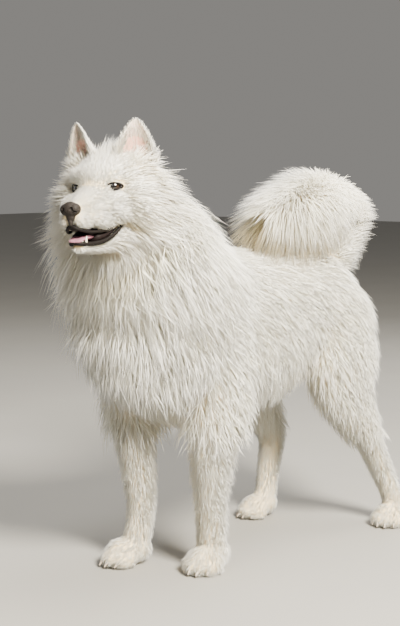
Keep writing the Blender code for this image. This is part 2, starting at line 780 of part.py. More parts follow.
def paw_forms(name, stations):
    """Four toes, the heel pad and the wrist of one paw, with the leg that comes down into it."""
    (x, y), turn = PAWS[name]
    scale = 1.0 if name.startswith("fore") else HIND_PAW_SHARE
    forms = [ball((0.0, -0.004, 0.026), (0.0300, 0.0360, 0.0250)),
             ball((0.0, 0.016, 0.032), (0.0270, 0.0300, 0.0300))]
    for step, forward in TOES:
        forms.append(ball((TOE_SPACING * step, -forward, 0.016), (0.0125, 0.0230, 0.0185)))
    placed = Matrix.Translation((x, y, -PAW_SINK)) @ Euler((0, 0, math.radians(turn))).to_matrix().to_4x4()
    for mesh in forms:
        mesh.transform(placed @ Matrix.Diagonal((scale, scale, scale, 1.0)))
    return forms + [tube(stations[-4:], 0.008 if name.startswith("fore") else 0.005, steps=3)]


def claws(name):
    """The four claws of a paw."""
    (x, y), turn = PAWS[name]
    placed = Matrix.Translation((x, y, 0.0)) @ Euler((0, 0, math.radians(turn))).to_matrix().to_4x4()
    made = []
    for step, forward in TOES:
        root = Vector((TOE_SPACING * step, -forward - 0.016, 0.0120))
        mesh = tube(((root, 0.0030, 0.0030), (root + Vector((0, -0.0055, -0.0015)), 0.0022, 0.0022),
                     (root + Vector((0, -0.0095, -0.0055)), 0.0008, 0.0008)), sides=6, steps=1)
        mesh.transform(placed)
        made.append(mesh)
    return made


# Coat of each node

def lock_objects(skin, tree, style, seed, allowed):
    """Locks rooted over a node's surface, each following the whole body's form."""
    chance = random.Random(seed)
    guides = guide_rows()
    made = []
    for place, normal in roots_on(skin, style.spacing, allowed, seed):
        lie, length, stand = combed(place, guides)
        lie = (lie - normal * lie.dot(normal)).normalized()
        across = lie.cross(normal)
        lie = (lie + across * chance.uniform(-0.22, 0.22)).normalized()
        length *= chance.uniform(0.85, 1.12) * style.longer
        mesh = lock(tree, place, normal, lie, length, stand * chance.uniform(0.85, 1.1),
                    style.width * chance.uniform(0.85, 1.15), style.thick)
        made.append(add_object("lock", mesh))
    return made


def tail_locks(style, rows, seed, low, high):
    """Rows of locks round the tail's bone from share low to share high of its length.

    Each leans away from the bone and towards its tip, and droops at its end. Those that
    start on the underside are lifted off the back.
    """
    chance = random.Random(seed)
    bone = smooth_line([(*place, radius) for place, radius in TAIL], 8)
    made = []
    for row in range(rows):
        share = low + (high - low) * (row + 0.5) / rows
        near = int(share * (len(bone) - 1))
        middle = Vector(bone[near][:3])
        ahead = Vector(bone[min(near + 2, len(bone) - 1)][:3] - bone[max(near - 2, 0)][:3]).normalized()
        up = (Vector((0, 0, 1)) - ahead * ahead.z).normalized()
        aside = ahead.cross(up)
        for place in range(TAIL_ROW):
            turn = 2 * math.pi * (place + 0.5 * (row % 2) + chance.uniform(-0.2, 0.2)) / TAIL_ROW
            out = up * math.cos(turn) + aside * math.sin(turn)
            along = (out * 0.55 + ahead * (1.0 if share > TAIL_UPRIGHT else 0.1)
                     - Vector((0, 0, 0.0 if share > TAIL_UPRIGHT else 0.45))).normalized()
            fullness = 0.72 + 0.28 * math.cos(turn) if share > TAIL_UPRIGHT else 0.95
            length = TAIL_LOCK * fullness * chance.uniform(0.9, 1.1)
            if share > TAIL_UPRIGHT and along.z > TAIL_STEEPEST:
                along.z = TAIL_STEEPEST
                along.normalize()
            if share > TAIL_OVER_BACK and along.z < 0.02:
                along = (along + Vector((0, 0, 0.02 - along.z))).normalized()
            made.append(add_object("lock", curved_lock(
                middle + out * (bone[near][3] - 0.012), along, out, length,
                style.width * chance.uniform(0.85, 1.15), style.thick)))
    return made


def curved_lock(root, along, out, length, width, thick):
    """A flat tapered lock that bends down towards its tip."""
    across = along.cross(out).normalized()
    droop = Vector((0, 0, -1))
    spine = [Vector(root)]
    way = along.copy()
    for share in (0.36, 0.34, 0.30):
        spine.append(spine[-1] + way * length * share)
        way = (way + droop * 0.16).normalized()
    rings = []
    for i, (wide, deep) in enumerate(zip((0.75, 1.0, 0.7), (0.8, 1.0, 0.7))):
        ahead = (spine[i + 1] - spine[max(i - 1, 0)]).normalized()
        face = across.cross(ahead).normalized()
        rings.append([spine[i] + across * width / 2 * wide, spine[i] + face * thick * deep,
                      spine[i] - across * width / 2 * wide])
    return pointed(rings, spine[-1])


# Nodes

def make_head():
    """Skull and upper jaw with eye sockets, lids and the upper lip."""
    meshes = skull_forms()
    for mesh in meshes:
        mesh.transform(HEAD)
    head = flesh(meshes, HEAD_VOXEL, 6, HEAD_TRIANGLES)
    rims = [lid_ring(out) for out in SIDES.values()]
    lips = [lip(UPPER_LIP, LIP_RADIUS, out) for out in SIDES.values()]
    head = boolean(head, in_head(rims + lips), "UNION")
    sockets = [eyeball(out, EYE_RADIUS + GAP) for out in SIDES.values()]
    return boolean(head, in_head(sockets), "DIFFERENCE")


def make_jaw():
    """The lower jaw with its lip and canines."""
    meshes = jaw_forms()
    for mesh in meshes:
        mesh.transform(HEAD)
    jaw = flesh(meshes, HEAD_VOXEL, 3, JAW_TRIANGLES)
    pieces = [make(out) for out in SIDES.values()
              for make in (lambda side: lip(LOWER_LIP, LIP_RADIUS, side), canine)]
    return boolean(jaw, in_head(pieces), "UNION")


def settled(child, parents, gap=GAP * 1.4):
    """A piece cut back so that it meets its parents face to face."""
    return boolean(child, [grown(parent, gap) for parent in parents], "DIFFERENCE")


def dressed(skin, locks, inside, outside):
    """A node with its locks fused on and cut clear of its neighbours."""
    skin = boolean(skin, locks, "UNION")
    for region in inside:
        skin = boolean(skin, [region()], "INTERSECT")
    return cut_out(skin, None, outside)


def make_paw(name, stations, height):
    """A paw with its claws, flat underneath."""
    paw = flesh(paw_forms(name, stations), PAW_VOXEL, 3, PAW_TRIANGLES)
    nails = [add_object("claw", mesh) for mesh in claws(name)]
    paw = boolean(paw, nails, "UNION")
    bounds = wedge((((0, 0, height - GAP), (0, 0, 1)), ((0, 0, 0), (0, 0, -1))))
    return boolean(paw, [bounds], "INTERSECT")


def finish(made, name, material):
    """Give a node its name and its material, with round faces shaded smooth."""
    without_slivers(made)
    made.name = name
    made.data.name = name
    made.data.materials.clear()
    made.data.materials.append(material)
    made.data.transform(Matrix.Translation(MODEL_SHIFT))
    made.data.shade_smooth()
    made.data.set_sharp_from_angle(angle=math.radians(50))
    return made


def surface_tree(made):
    """A tree for finding the nearest place on an object's surface."""
    return BVHTree.FromObject(made, bpy.context.evaluated_depsgraph_get())


def on_surface(place, tree):
    """Whether a place lies on the body's own surface and not on a cut."""
    return tree.find_nearest(place)[3] < 0.001


def in_groin(place):
    """Whether a place is on the bare skin between the hind legs."""
    return place.y > 0.08 and place.z < 0.36


def on_cheek(place):
    """Whether a place in the head's own frame is on the furred band behind the cheeks."""
    return 0.026 < place.y < 0.066 and abs(place.x) > 0.038 and -0.080 < place.z < 0.020


def build_head(paints):
    """Every node of the head."""
    head = make_head()
    jaw = cut_out(settled(make_jaw(), [head]), region_head, ())
    ears = {side: settled(in_head([ear_cup(out)])[0], [head]) for side, out in SIDES.items()}
    nose = flesh(nose_forms(), NOSE_VOXEL, 3, NOSE_TRIANGLES)
    nose.data.transform(HEAD)
    nose = boolean(nose, in_head(nostrils()), "DIFFERENCE")
    nose = settled(nose, [head])
    tongue = in_head([tube(TONGUE, sides=6, steps=1)])[0]
    tongue = settled(tongue, [jaw], GAP * 3)
    for side, out in SIDES.items():
        finish(in_head([eyeball(out, EYE_RADIUS)])[0], "eye_" + side, paints["eye"])
    form = surface_tree(head)
    back = HEAD.inverted()
    locks = lock_objects(head, form, CHEEK, 5, lambda p: on_cheek(back @ p))
    head = dressed(head, locks, (region_head,), ())
    head = settled(head, [*ears.values(), jaw])
    for side, ear in ears.items():
        finish(ear, "ear_" + side, paints["ear"])
    finish(head, "head", paints["coat"])
    finish(jaw, "lower_jaw", paints["coat"])
    finish(nose, "nose", paints["leather"])
    finish(tongue, "tongue", paints["tongue"])


def build_neck(body, tree, coat):
    """The neck with its ruff and bib."""
    neck = cut_out(copy_of(body), region_neck, (region_head,))
    locks = lock_objects(neck, tree, RUFF, 11, lambda p: on_surface(p, tree))
    finish(dressed(neck, locks, (region_neck,), (region_head,)), "neck", coat)


def build_torso(body, tree, coat):
    """The trunk with the shoulders and upper arms, and the coat that hangs from them."""
    taken = [region_neck, region_tail, region_plume]
    taken += [region_foreleg(side) for side in FORELEGS] + [region_thigh(side) for side in HIND_LEGS]
    torso = cut_out(copy_of(body), None, taken)
    locks = lock_objects(torso, tree, BODY_COAT, 23,
                         lambda p: on_surface(p, tree) and not in_groin(p))
    finish(dressed(torso, locks, (), taken), "torso", coat)


def build_tail(body, coat):
    """The tail's upright root and the plume that lies over the back."""
    root = cut_out(copy_of(body), region_tail, (region_plume,))
    locks = tail_locks(TAIL_COAT, 2, 31, 0.22, 0.36)
    finish(dressed(root, locks, (region_tail,), (region_plume,)), "tail_root", coat)
    curl = flesh(tail_forms(), TAIL_VOXEL, 2, TAIL_TRIANGLES)
    plume = cut_out(curl, region_plume, ())
    locks = tail_locks(TAIL_COAT, 5, 37, 0.38, 1.0)
    finish(dressed(plume, locks, (region_plume,), ()), "tail_plume", coat)


def build_foreleg(body, tree, side, coat):
    """A foreleg with the feathering behind it, and its paw."""
    own = region_foreleg(side)
    wrist = region_paw(WRIST)
    leg = cut_out(copy_of(body), own, (wrist,))
    rear = leg_point(FORELEGS[side], FEATHER_LEVEL).y + FEATHER_BEHIND
    locks = lock_objects(leg, tree, FEATHER, FEATHER_SEEDS[side],
                         lambda p: on_surface(p, tree) and p.y > rear and p.z > FEATHER_LOWEST)
    finish(dressed(leg, locks, (own,), (wrist,)), "foreleg_" + side, coat)
    finish(make_paw("forepaw_" + side, FORELEGS[side], WRIST), "forepaw_" + side, coat)


def build_hind_leg(body, tree, side, coat):
    """A thigh with its breeches, the hock under it and the paw."""
    own = region_thigh(side)
    low = region_hock(side)
    hind = cut_out(copy_of(body), own, ())
    hock = cut_out(copy_of(hind), low, (region_paw(ANKLE),))
    finish(hock, "hock_" + side, coat)
    thigh = cut_out(hind, None, (low, region_tail))
    locks = lock_objects(thigh, tree, BREECHES, 53, lambda p: on_surface(p, tree))
    finish(dressed(thigh, locks, (own,), (low, region_tail)), "thigh_" + side, coat)
    finish(make_paw("hindpaw_" + side, HIND_LEGS[side], ANKLE), "hindpaw_" + side, coat)


def build():
    """Make the whole dog."""
    paints = {
        "coat": paint("white_coat", (0.86, 0.80, 0.68)),
        "ear": paint("ear_coat", (0.78, 0.62, 0.48)),
        "leather": paint("nose_leather", (0.03, 0.026, 0.025), 0.45),
        "eye": paint("brown_eye", (0.05, 0.028, 0.015), 0.1),
        "tongue": paint("tongue", (0.45, 0.25, 0.28), 0.5),
    }
    build_head(paints)
    body = flesh(body_forms(), BODY_VOXEL, 6, BODY_TRIANGLES)
    tree = surface_tree(body)
    build_neck(body, tree, paints["coat"])
    build_torso(body, tree, paints["coat"])
    build_tail(body, paints["coat"])
    for side in SIDES:
        build_foreleg(body, tree, side, paints["coat"])
        build_hind_leg(body, tree, side, paints["coat"])
    bpy.data.objects.remove(body)


build()
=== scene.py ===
"""Looks of a standing samoyed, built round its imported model.

One skin stands for the flesh. The coat is closed tufts that are rooted on the skin, follow
its form and run along the lie of the hair. Shapes are drawn in the dog's own frame, facing
-Y with its left side at +X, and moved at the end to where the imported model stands.
Lengths are in metres.
"""

from __future__ import annotations

import logging
import math
from dataclasses import dataclass, field
from enum import Enum
from typing import Iterable, Sequence

import bmesh
import bpy
import numpy as np
from mathutils import Euler, Matrix, Vector
from mathutils.bvhtree import BVHTree
from mathutils.kdtree import KDTree

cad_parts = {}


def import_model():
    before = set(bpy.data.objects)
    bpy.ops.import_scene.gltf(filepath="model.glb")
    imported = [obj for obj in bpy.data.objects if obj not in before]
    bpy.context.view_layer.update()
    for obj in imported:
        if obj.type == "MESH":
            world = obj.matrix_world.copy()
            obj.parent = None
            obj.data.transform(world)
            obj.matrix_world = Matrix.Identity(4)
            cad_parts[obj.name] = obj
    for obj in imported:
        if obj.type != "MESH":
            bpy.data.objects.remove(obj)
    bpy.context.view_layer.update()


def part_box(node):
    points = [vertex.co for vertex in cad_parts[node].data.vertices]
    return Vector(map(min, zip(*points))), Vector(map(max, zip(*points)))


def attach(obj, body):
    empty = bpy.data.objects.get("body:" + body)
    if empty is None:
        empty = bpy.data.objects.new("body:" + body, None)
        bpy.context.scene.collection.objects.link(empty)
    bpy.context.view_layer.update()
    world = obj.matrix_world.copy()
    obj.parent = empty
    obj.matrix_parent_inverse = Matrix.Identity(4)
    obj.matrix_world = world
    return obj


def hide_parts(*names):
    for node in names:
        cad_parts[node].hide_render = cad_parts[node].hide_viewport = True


LOG = logging.getLogger("samoyed")

Numbers = Sequence[float]
Array = np.ndarray
Chance = np.random.Generator
Mesh = bpy.types.Mesh
Object = bpy.types.Object
Material = bpy.types.Material

BODY = "root"
SEED = 7

# The head's own frame sits midway between the eyes
HEAD_PLACE = Vector((0.015, -0.402, 0.697))
FACE_NUDGE = Vector((-0.002, -0.001, -0.004))   # from the solids' face to the one drawn here
HEAD_TURN = math.radians(12.4)
HEAD_TILT = math.radians(-3.0)
HEAD = Matrix.Translation(HEAD_PLACE + FACE_NUDGE) @ Euler((0.0, HEAD_TILT, HEAD_TURN)).to_matrix().to_4x4()
HEAD_BACK = HEAD.inverted()
EYE_PLACE = Vector((0.032, 0.003, 0.0))
EYE_RADIUS = 0.0115
EYE_AIM = Vector((0.42, -0.9, 0.06))
NOSE_PLACE = Vector((0.0, -0.086, -0.034))
EAR_PLACE = Vector((0.05, 0.044, 0.029))
UPPER_LIP = ((0.0, -0.084, -0.062), (0.011, -0.08, -0.0665), (0.022, -0.06, -0.0715),
             (0.033, -0.032, -0.0695), (0.04, -0.006, -0.0585), (0.043, 0.009, -0.05))
LOWER_LIP = ((0.0, -0.078, -0.089), (0.011, -0.073, -0.09), (0.02, -0.052, -0.0905),
             (0.029, -0.028, -0.0865), (0.038, -0.004, -0.0735), (0.043, 0.01, -0.0555))
UPPER_ROWS = np.array(UPPER_LIP)
LOWER_ROWS = np.array(LOWER_LIP)
MOUTH_CORNER = 0.012              # y of the mouth's corners in the head's frame
SNOUT_LINE = ((0, -0.11, -0.04), (0, 0.0, -0.02), (0, 0.1, -0.02))
BISCUIT_SPOTS = (                 # place in the head's frame, reach and strength
    ((0.062, 0.034, 0.022), 0.02, 0.85), ((0.02, -0.05, -0.03), 0.016, 0.1),
    ((0.044, -0.004, -0.012), 0.012, 0.12))

# The hair
FLOOR_CLEARANCE = 0.0006
PATCH = 0.003                     # size of a tuft's place on the bake's map
SOFTNESS = 0.82                   # how far a tuft is lit as the surface under it
TUFT_PROFILE = ((0, 0.3, 0.7, 1), (0.62, 1.0, 0.78, 0.25))   # shares along a tuft and widths there
TUFT_WIDTHS = (0.7, 1.3)
TUFT_DEPTH = 0.8
TUFT_TURN = 0.55                  # spread of a tuft's turn about its own length
ROOT_DEPTH = 0.0015               # how far a root lies under the skin
HAIR_RISE = ((0, 0.33, 0.67, 1), (0.0, 0.4, 0.76, 1.0))   # shares along a hair and of its stand
HAIR_HUG = (0.75, 0.6)            # how closely a hair and its tip follow the body
UNDERCOAT_LENGTH = 0.5            # length of the shortest hair as a share of the longest


class Side(Enum):
    """The two sides of the dog, with the way each lies along X."""

    LEFT = 1
    RIGHT = -1

    @property
    def word(self) -> str:
        """The side's name in a piece's name."""
        return self.name.lower()


class Zone(Enum):
    """Stretches of the body that carry their own kind of coat."""

    FACE = 0
    RUFF = 1
    TORSO = 2
    TAIL = 3
    THIGH = 4
    FORELEG = 5
    HOCK = 6
    FOREPAW = 7
    HINDPAW = 8


class Mark(Enum):
    """The marks that a mesh's vertices carry for its finish."""

    ALONG = 0
    TONE = 1
    TINT = 2


def sided(place: Numbers, side: Side) -> Vector:
    """A place drawn for the left side, moved to its own side."""
    return Vector((place[0] * side.value, place[1], place[2]))


# Shader maths

class Wire:
    """A node socket on which Python operators add Math nodes."""

    def __init__(self, sheet: "Sheet", socket: bpy.types.NodeSocket) -> None:
        """Wrap a socket of a sheet's node tree."""
        self.sheet = sheet
        self.socket = socket

    def __add__(self, other: "Wire | float") -> "Wire":
        """Sum."""
        return self.sheet.maths("ADD", self, other)

    __radd__ = __add__

    def __sub__(self, other: "Wire | float") -> "Wire":
        """Difference."""
        return self.sheet.maths("SUBTRACT", self, other)

    def __rsub__(self, other: "Wire | float") -> "Wire":
        """Difference from a number."""
        return self.sheet.maths("SUBTRACT", other, self)

    def __mul__(self, other: "Wire | float") -> "Wire":
        """Product."""
        return self.sheet.maths("MULTIPLY", self, other)

    __rmul__ = __mul__

    def __pow__(self, other: float) -> "Wire":
        """Power."""
        return self.sheet.maths("POWER", self, other)

    def held(self) -> "Wire":
        """The value kept between 0 and 1."""
        return self.sheet.maths("MULTIPLY", self, 1.0, use_clamp=True)


class Sheet:
    """A material's node tree, with one method that adds any node."""

    def __init__(self, name: str) -> None:
        """Start a material that holds only its shader and output."""
        self.material = bpy.data.materials.new(name)
        self.material.use_nodes = True
        self.tree = self.material.node_tree
        self.shader = self.tree.nodes["Principled BSDF"]

    def node(self, kind: str, settings: dict[str, object] | None = None,
             inputs: dict[object, object] | None = None) -> bpy.types.Node:
        """Add a node.

        Args:
            kind: The node's type name.
            settings: Attributes of the node, set first.
            inputs: Values or wires for its sockets, by name or number.

        Returns:
            The new node.
        """
        made = self.tree.nodes.new(kind)
        for name, value in (settings or {}).items():
            setattr(made, name, value)
        for name, value in (inputs or {}).items():
            self.feed(made.inputs[name], value)
        return made

    def feed(self, socket: bpy.types.NodeSocket, value: object) -> None:
        """Give a socket a wire or a value.

        Args:
            socket: An input of a node.
            value: A wire, a number or a colour.
        """
        if isinstance(value, Wire):
            self.tree.links.new(value.socket, socket)
        elif isinstance(value, tuple) and len(value) == 3 and socket.type == "RGBA":
            socket.default_value = (*value, 1.0)
        else:
            socket.default_value = value

    def maths(self, operation: str, first: object, second: object, use_clamp: bool = False) -> Wire:
        """Add a Math node.

        Args:
            operation: The Math node's operation.
            first: A wire or number.
            second: A wire or number.
            use_clamp: Whether the result is kept between 0 and 1.

        Returns:
            The node's result.
        """
        made = self.node("ShaderNodeMath", {"operation": operation, "use_clamp": use_clamp},
                         {0: first, 1: second})
        return Wire(self, made.outputs[0])

    def mix(self, share: object, first: object, second: object) -> Wire:
        """Blend two colours, from the first at 0 to the second at 1.

        Args:
            share: A wire or number.
            first: A wire or colour.
            second: A wire or colour.

        Returns:
            The blended colour.
        """
        made = self.node("ShaderNodeMix", {"data_type": "RGBA"}, {0: share, 6: first, 7: second})
        return Wire(self, made.outputs[2])

    def noise(self, scale: float, detail: float = 2.0, stretch: Numbers = (1.0, 1.0, 1.0)) -> Wire:
        """Noise over the piece's own coordinates, from 0 to 1.

        Args:
            scale: How fine it is.
            detail: How many finer layers it has.
            stretch: Scale along each axis.

        Returns:
            The noise.
        """
        place = self.node("ShaderNodeTexCoord").outputs["Object"]
        drawn = self.node("ShaderNodeVectorMath", {"operation": "MULTIPLY"},
                          {0: Wire(self, place), 1: tuple(stretch)})
        made = self.node("ShaderNodeTexNoise", inputs={"Vector": Wire(self, drawn.outputs[0]),
                                                       "Scale": scale, "Detail": detail})
        return Wire(self, made.outputs[0])

    def marks(self) -> tuple[Wire, Wire, Wire]:
        """The three marks that meshes carry: share along the hair, tone and tint.

        Returns:
            One wire for each mark.
        """
        read = self.node("ShaderNodeAttribute", {"attribute_name": "marks"})
        parts = self.node("ShaderNodeSeparateColor", inputs={0: Wire(self, read.outputs["Color"])})
        return tuple(Wire(self, parts.outputs[i]) for i in range(3))

    def bump(self, height: Wire, distance: float) -> Wire:
        """A normal bent by a height."""
        made = self.node("ShaderNodeBump", inputs={"Height": height, "Distance": distance, "Strength": 1.0})
        return Wire(self, made.outputs[0])

    def finish(self, **sockets: object) -> Material:
        """Set the shader's sockets, named with _ for a space.

        Args:
            sockets: A value or wire for each socket.

        Returns:
            The finished material.
        """
        for name, value in sockets.items():
            self.feed(self.shader.inputs[name.replace("_", " ")], value)
        return self.material


# Finishes

@dataclass(frozen=True)
class CoatFinish:
    """White hair, creamier at its roots, biscuit where the coat is tinted."""

    name: str = "white_coat"
    root: Numbers = (0.91, 0.73, 0.42)
    tip: Numbers = (0.97, 0.855, 0.55)
    biscuit: Numbers = (0.84, 0.57, 0.27)
    shade: Numbers = (0.92, 0.76, 0.45)
    roughness: float = 0.62
    through: float = 0.003            # how far light passes through the hair

    def build(self) -> Material:
        """Make the material of the tufts.

        Returns:
            The material.
        """
        sheet = Sheet(self.name)
        along, tone, tint = sheet.marks()
        colour = sheet.mix((along * 1.5).held(), self.root, self.tip)
        colour = sheet.mix((tone ** 2.0) * 0.35, colour, self.shade)
        colour = sheet.mix((tint * (1.15 - along * 0.5)).held(), colour, self.biscuit)
        return sheet.finish(Base_Color=colour, Roughness=self.roughness, Sheen_Weight=0.25,
                            Sheen_Roughness=0.5, Specular_IOR_Level=0.25, Subsurface_Weight=1.0,
                            Subsurface_Radius=(1.0, 1.0, 1.0), Subsurface_Scale=self.through)


@dataclass(frozen=True)
class LeatherFinish:
    """Pebbled black leather of the nose, greyer where it is dry."""

    name: str = "nose_leather"
    colour: Numbers = (0.0085, 0.007, 0.0065)
    dry: Numbers = (0.024, 0.02, 0.018)

    def build(self) -> Material:
        """Make the material.

        Returns:
            The material.
        """
        sheet = Sheet(self.name)
        place = Wire(sheet, sheet.node("ShaderNodeTexCoord").outputs["Object"])
        pebbles = sheet.node("ShaderNodeTexVoronoi", {"feature": "SMOOTH_F1"},
                             {"Vector": place, "Scale": 900.0})
        patches = sheet.noise(120.0)
        raised = Wire(sheet, pebbles.outputs["Distance"])
        colour = sheet.mix(patches, self.colour, self.dry)
        return sheet.finish(Base_Color=colour, Roughness=0.42 + patches * 0.2,
                            Specular_IOR_Level=0.13, Normal=sheet.bump(1.0 - raised, 0.0005))


@dataclass(frozen=True)
class GrainFinish:
    """One colour that a mark may blend into a second, under a fine grain: skin, lips, claws."""

    name: str
    colour: Numbers
    grain: Numbers                    # the grain's own colour
    grain_share: float                # how strongly that shows
    roughness: float
    scale: float                      # of the grain
    depth: float                      # of its bumps
    second: Numbers | None = None     # the colour reached where the mark is 1
    mark: Mark = Mark.ALONG
    gain: float = 1.0                 # how fast the mark reaches it
    detail: float = 3.0
    stretch: Numbers = (1.0, 1.0, 1.0)
    uneven: float = 0.0               # how far the roughness varies
    gloss: float = 0.5

    def build(self) -> Material:
        """Make the material.

        Returns:
            The material.
        """
        sheet = Sheet(self.name)
        grain = sheet.noise(self.scale, self.detail, self.stretch)
        colour = self.colour
        if self.second:
            share = (sheet.marks()[self.mark.value] * self.gain).held()
            colour = sheet.mix(share, colour, self.second)
        colour = sheet.mix(grain * self.grain_share, colour, self.grain)
        roughness = self.roughness
        if self.uneven:
            roughness = grain * self.uneven + (roughness - self.uneven / 2)
        return sheet.finish(Base_Color=colour, Roughness=roughness, Specular_IOR_Level=self.gloss,
                            Normal=sheet.bump(grain, self.depth))


@dataclass(frozen=True)
class EyeFinish:
    """A dark brown eye: pupil, iris with rays, black limbus and the white behind."""

    name: str = "brown_eye"
    pupil: float = 0.22               # angles from the aim, as shares of a right angle
    iris: float = 0.68
    brown: Numbers = (0.01, 0.005, 0.003)
    light: Numbers = (0.026, 0.013, 0.007)
    white: Numbers = (0.045, 0.032, 0.028)

    def build(self) -> Material:
        """Make the material; the tone mark is the angle from the aim.

        Returns:
            The material.
        """
        sheet = Sheet(self.name)
        angle = sheet.marks()[Mark.TONE.value]
        rays = sheet.noise(420.0, 4.0)
        colour = sheet.mix(rays, self.brown, self.light)
        inner = ((angle - self.pupil) * 25.0).held()
        colour = sheet.mix(inner, (0.002, 0.002, 0.002), colour)
        rim = ((angle - self.iris + 0.06) * 16.0).held()
        colour = sheet.mix(rim, colour, (0.006, 0.004, 0.004))
        outside = ((angle - self.iris - 0.06) * 14.0).held()
        colour = sheet.mix(outside, colour, self.white)
        return sheet.finish(Base_Color=colour, Roughness=0.08, Coat_Weight=1.0, Coat_Roughness=0.02)


# Shapes

def smooth_line(points: Sequence[Numbers], steps: int) -> Array:
    """Points on a Catmull-Rom curve.

    Args:
        points: Rows of numbers that the curve passes through.
        steps: Points to each span.

    Returns:
        The rows along the curve.
    """
    rows = np.array(points, float)
    rows = np.vstack([2 * rows[0] - rows[1], rows, 2 * rows[-1] - rows[-2]])
    made = []
    for i in range(1, len(rows) - 2):
        a, b, c, d = rows[i - 1:i + 3]
        for k in range(steps):
            t = k / steps
            made.append(0.5 * (2 * b + (c - a) * t + (2 * a - 5 * b + 4 * c - d) * t ** 2
                               + (3 * b - a - 3 * c + d) * t ** 3))
    made.append(rows[-2])
    return np.array(made)


def mesh_of(name: str, points: Iterable[Numbers], faces: Iterable[Sequence[int]]) -> Mesh:
    """A mesh with its faces turned outwards.

    Args:
        name: The mesh's name.
        points: Its vertices.
        faces: Rows of vertex numbers.

    Returns:
        The mesh.
    """
    mesh = bpy.data.meshes.new(name)
    mesh.from_pydata([tuple(p) for p in points], [], [tuple(f) for f in faces])
    work = bmesh.new()
    work.from_mesh(mesh)
    bmesh.ops.recalc_face_normals(work, faces=work.faces)
    work.to_mesh(mesh)
    work.free()
    return mesh


def skinned(rings: Sequence[Sequence[Vector]]) -> tuple[list, list]:
    """Points and faces that join equal rings and close both ends.

    Args:
        rings: Rows of points, all of one length.

    Returns:
        The points and the faces.
    """
    count = len(rings[0])
    points = [p for ring in rings for p in ring]
    faces = []
    for i in range(len(rings) - 1):
        for j in range(count):
            k = (j + 1) % count
            faces.append((i * count + j, i * count + k, (i + 1) * count + k, (i + 1) * count + j))
    for ring, first in ((rings[0], 0), (rings[-1], (len(rings) - 1) * count)):
        points.append(sum((Vector(p) for p in ring), Vector()) / count)
        faces += [(first + j, first + (j + 1) % count, len(points) - 1) for j in range(count)]
    return points, faces


def tube(stations: Sequence, grow: float = 0.0, sides: int = 20, steps: int = 5) -> Mesh:
    """A tube with elliptical sections and rounded ends.

    Args:
        stations: Rows of (place, half width, half depth).
        grow: Added to both half sizes.
        sides: Points round a section.
        steps: Sections to each span.

    Returns:
        The closed mesh.
    """
    line = smooth_line([(*place, wide + grow, deep + grow) for place, wide, deep in stations], steps)
    turns = [2 * math.pi * j / sides for j in range(sides)]
    rings = []
    for i, row in enumerate(line):
        along = Vector(line[min(i + 1, len(line) - 1)][:3] - line[max(i - 1, 0)][:3]).normalized()
        across = (Vector((1, 0, 0)) - along * along.x).normalized()
        up = along.cross(across)
        middle = Vector(row[:3])
        rings.append([middle + across * row[3] * math.cos(a) + up * row[4] * math.sin(a) for a in turns])
        if i in (0, len(line) - 1):
            away = along if i else -along
            bulge = min(row[3], row[4])
            domes = [[p.lerp(middle, 1 - math.cos(t)) + away * bulge * math.sin(t) for p in rings[-1]]
                     for t in (math.radians(35), math.radians(65))]
            rings = domes[::-1] + rings if i == 0 else rings + domes
    return mesh_of("tube", *skinned(rings))


def ball(place: Numbers, radii: Numbers, tilt: Numbers = (0.0, 0.0, 0.0), divisions: int = 4) -> Mesh:
    """An ellipsoid.

    Args:
        place: Its middle.
        radii: Its three radii.
        tilt: Its turn about X, Y and Z, in degrees.
        divisions: How finely it is divided.

    Returns:
        The mesh.
    """
    work = bmesh.new()
    bmesh.ops.create_icosphere(work, subdivisions=divisions, radius=1.0)
    turned = Euler([math.radians(a) for a in tilt]).to_matrix().to_4x4()
    placed = Matrix.Translation(place) @ turned @ Matrix.Diagonal((*radii, 1.0))
    bmesh.ops.transform(work, matrix=placed, verts=work.verts)
    return freed(work, "ball")


def freed(work: bmesh.types.BMesh, name: str) -> Mesh:
    """The mesh that a bmesh holds, which is used up."""
    mesh = bpy.data.meshes.new(name)
    work.to_mesh(mesh)
    work.free()
    return mesh


def balls(rows: Iterable[tuple], origin: Numbers = (0.0, 0.0, 0.0),
          divisions: int = 4) -> list[Mesh]:
    """Ellipsoids on the middle line, and pairs of them where a row lies to the left of it.

    Args:
        rows: Place, radii and, where it is turned, tilt.
        origin: What the places are measured from.
        divisions: How finely each is divided.

    Returns:
        The meshes.
    """
    made = []
    for place, radii, *rest in rows:
        tilt = rest[0] if rest else (0, 0, 0)
        for side in Side if place[0] else (Side.LEFT,):
            turned = (tilt[0], tilt[1] * side.value, tilt[2] * side.value)
            made.append(ball(sided(place, side) + Vector(origin), radii, turned, divisions))
    return made


def add_object(name: str, mesh: Mesh) -> Object:
    """Link a mesh to the scene."""
    made = bpy.data.objects.new(name, mesh)
    bpy.context.scene.collection.objects.link(made)
    return made


def baked(made: Object, name: str) -> Object:
    """The object with its modifiers applied, replacing it.

    Args:
        made: The object.
        name: The new object's name.

    Returns:
        The new object.
    """
    graph = bpy.context.evaluated_depsgraph_get()
    mesh = bpy.data.meshes.new_from_object(made.evaluated_get(graph))
    bpy.data.objects.remove(made)
    return add_object(name, mesh)


def fused(name: str, meshes: Iterable[Mesh], voxel: float, rounding: int) -> Object:
    """Closed meshes blended into one smooth closed form.

    Args:
        name: The new object's name.
        meshes: The forms.
        voxel: Grain of the blending.
        rounding: How many times the surface is smoothed.

    Returns:
        The fused object.
    """
    work = bmesh.new()
    for mesh in meshes:
        work.from_mesh(mesh)
    made = add_object(name, freed(work, name))
    remesh = made.modifiers.new("Fuse", "REMESH")
    remesh.mode = "VOXEL"
    remesh.voxel_size = voxel
    smooth = made.modifiers.new("Round", "SMOOTH")
    smooth.iterations = rounding
    smooth.factor = 0.5
    return baked(made, name)


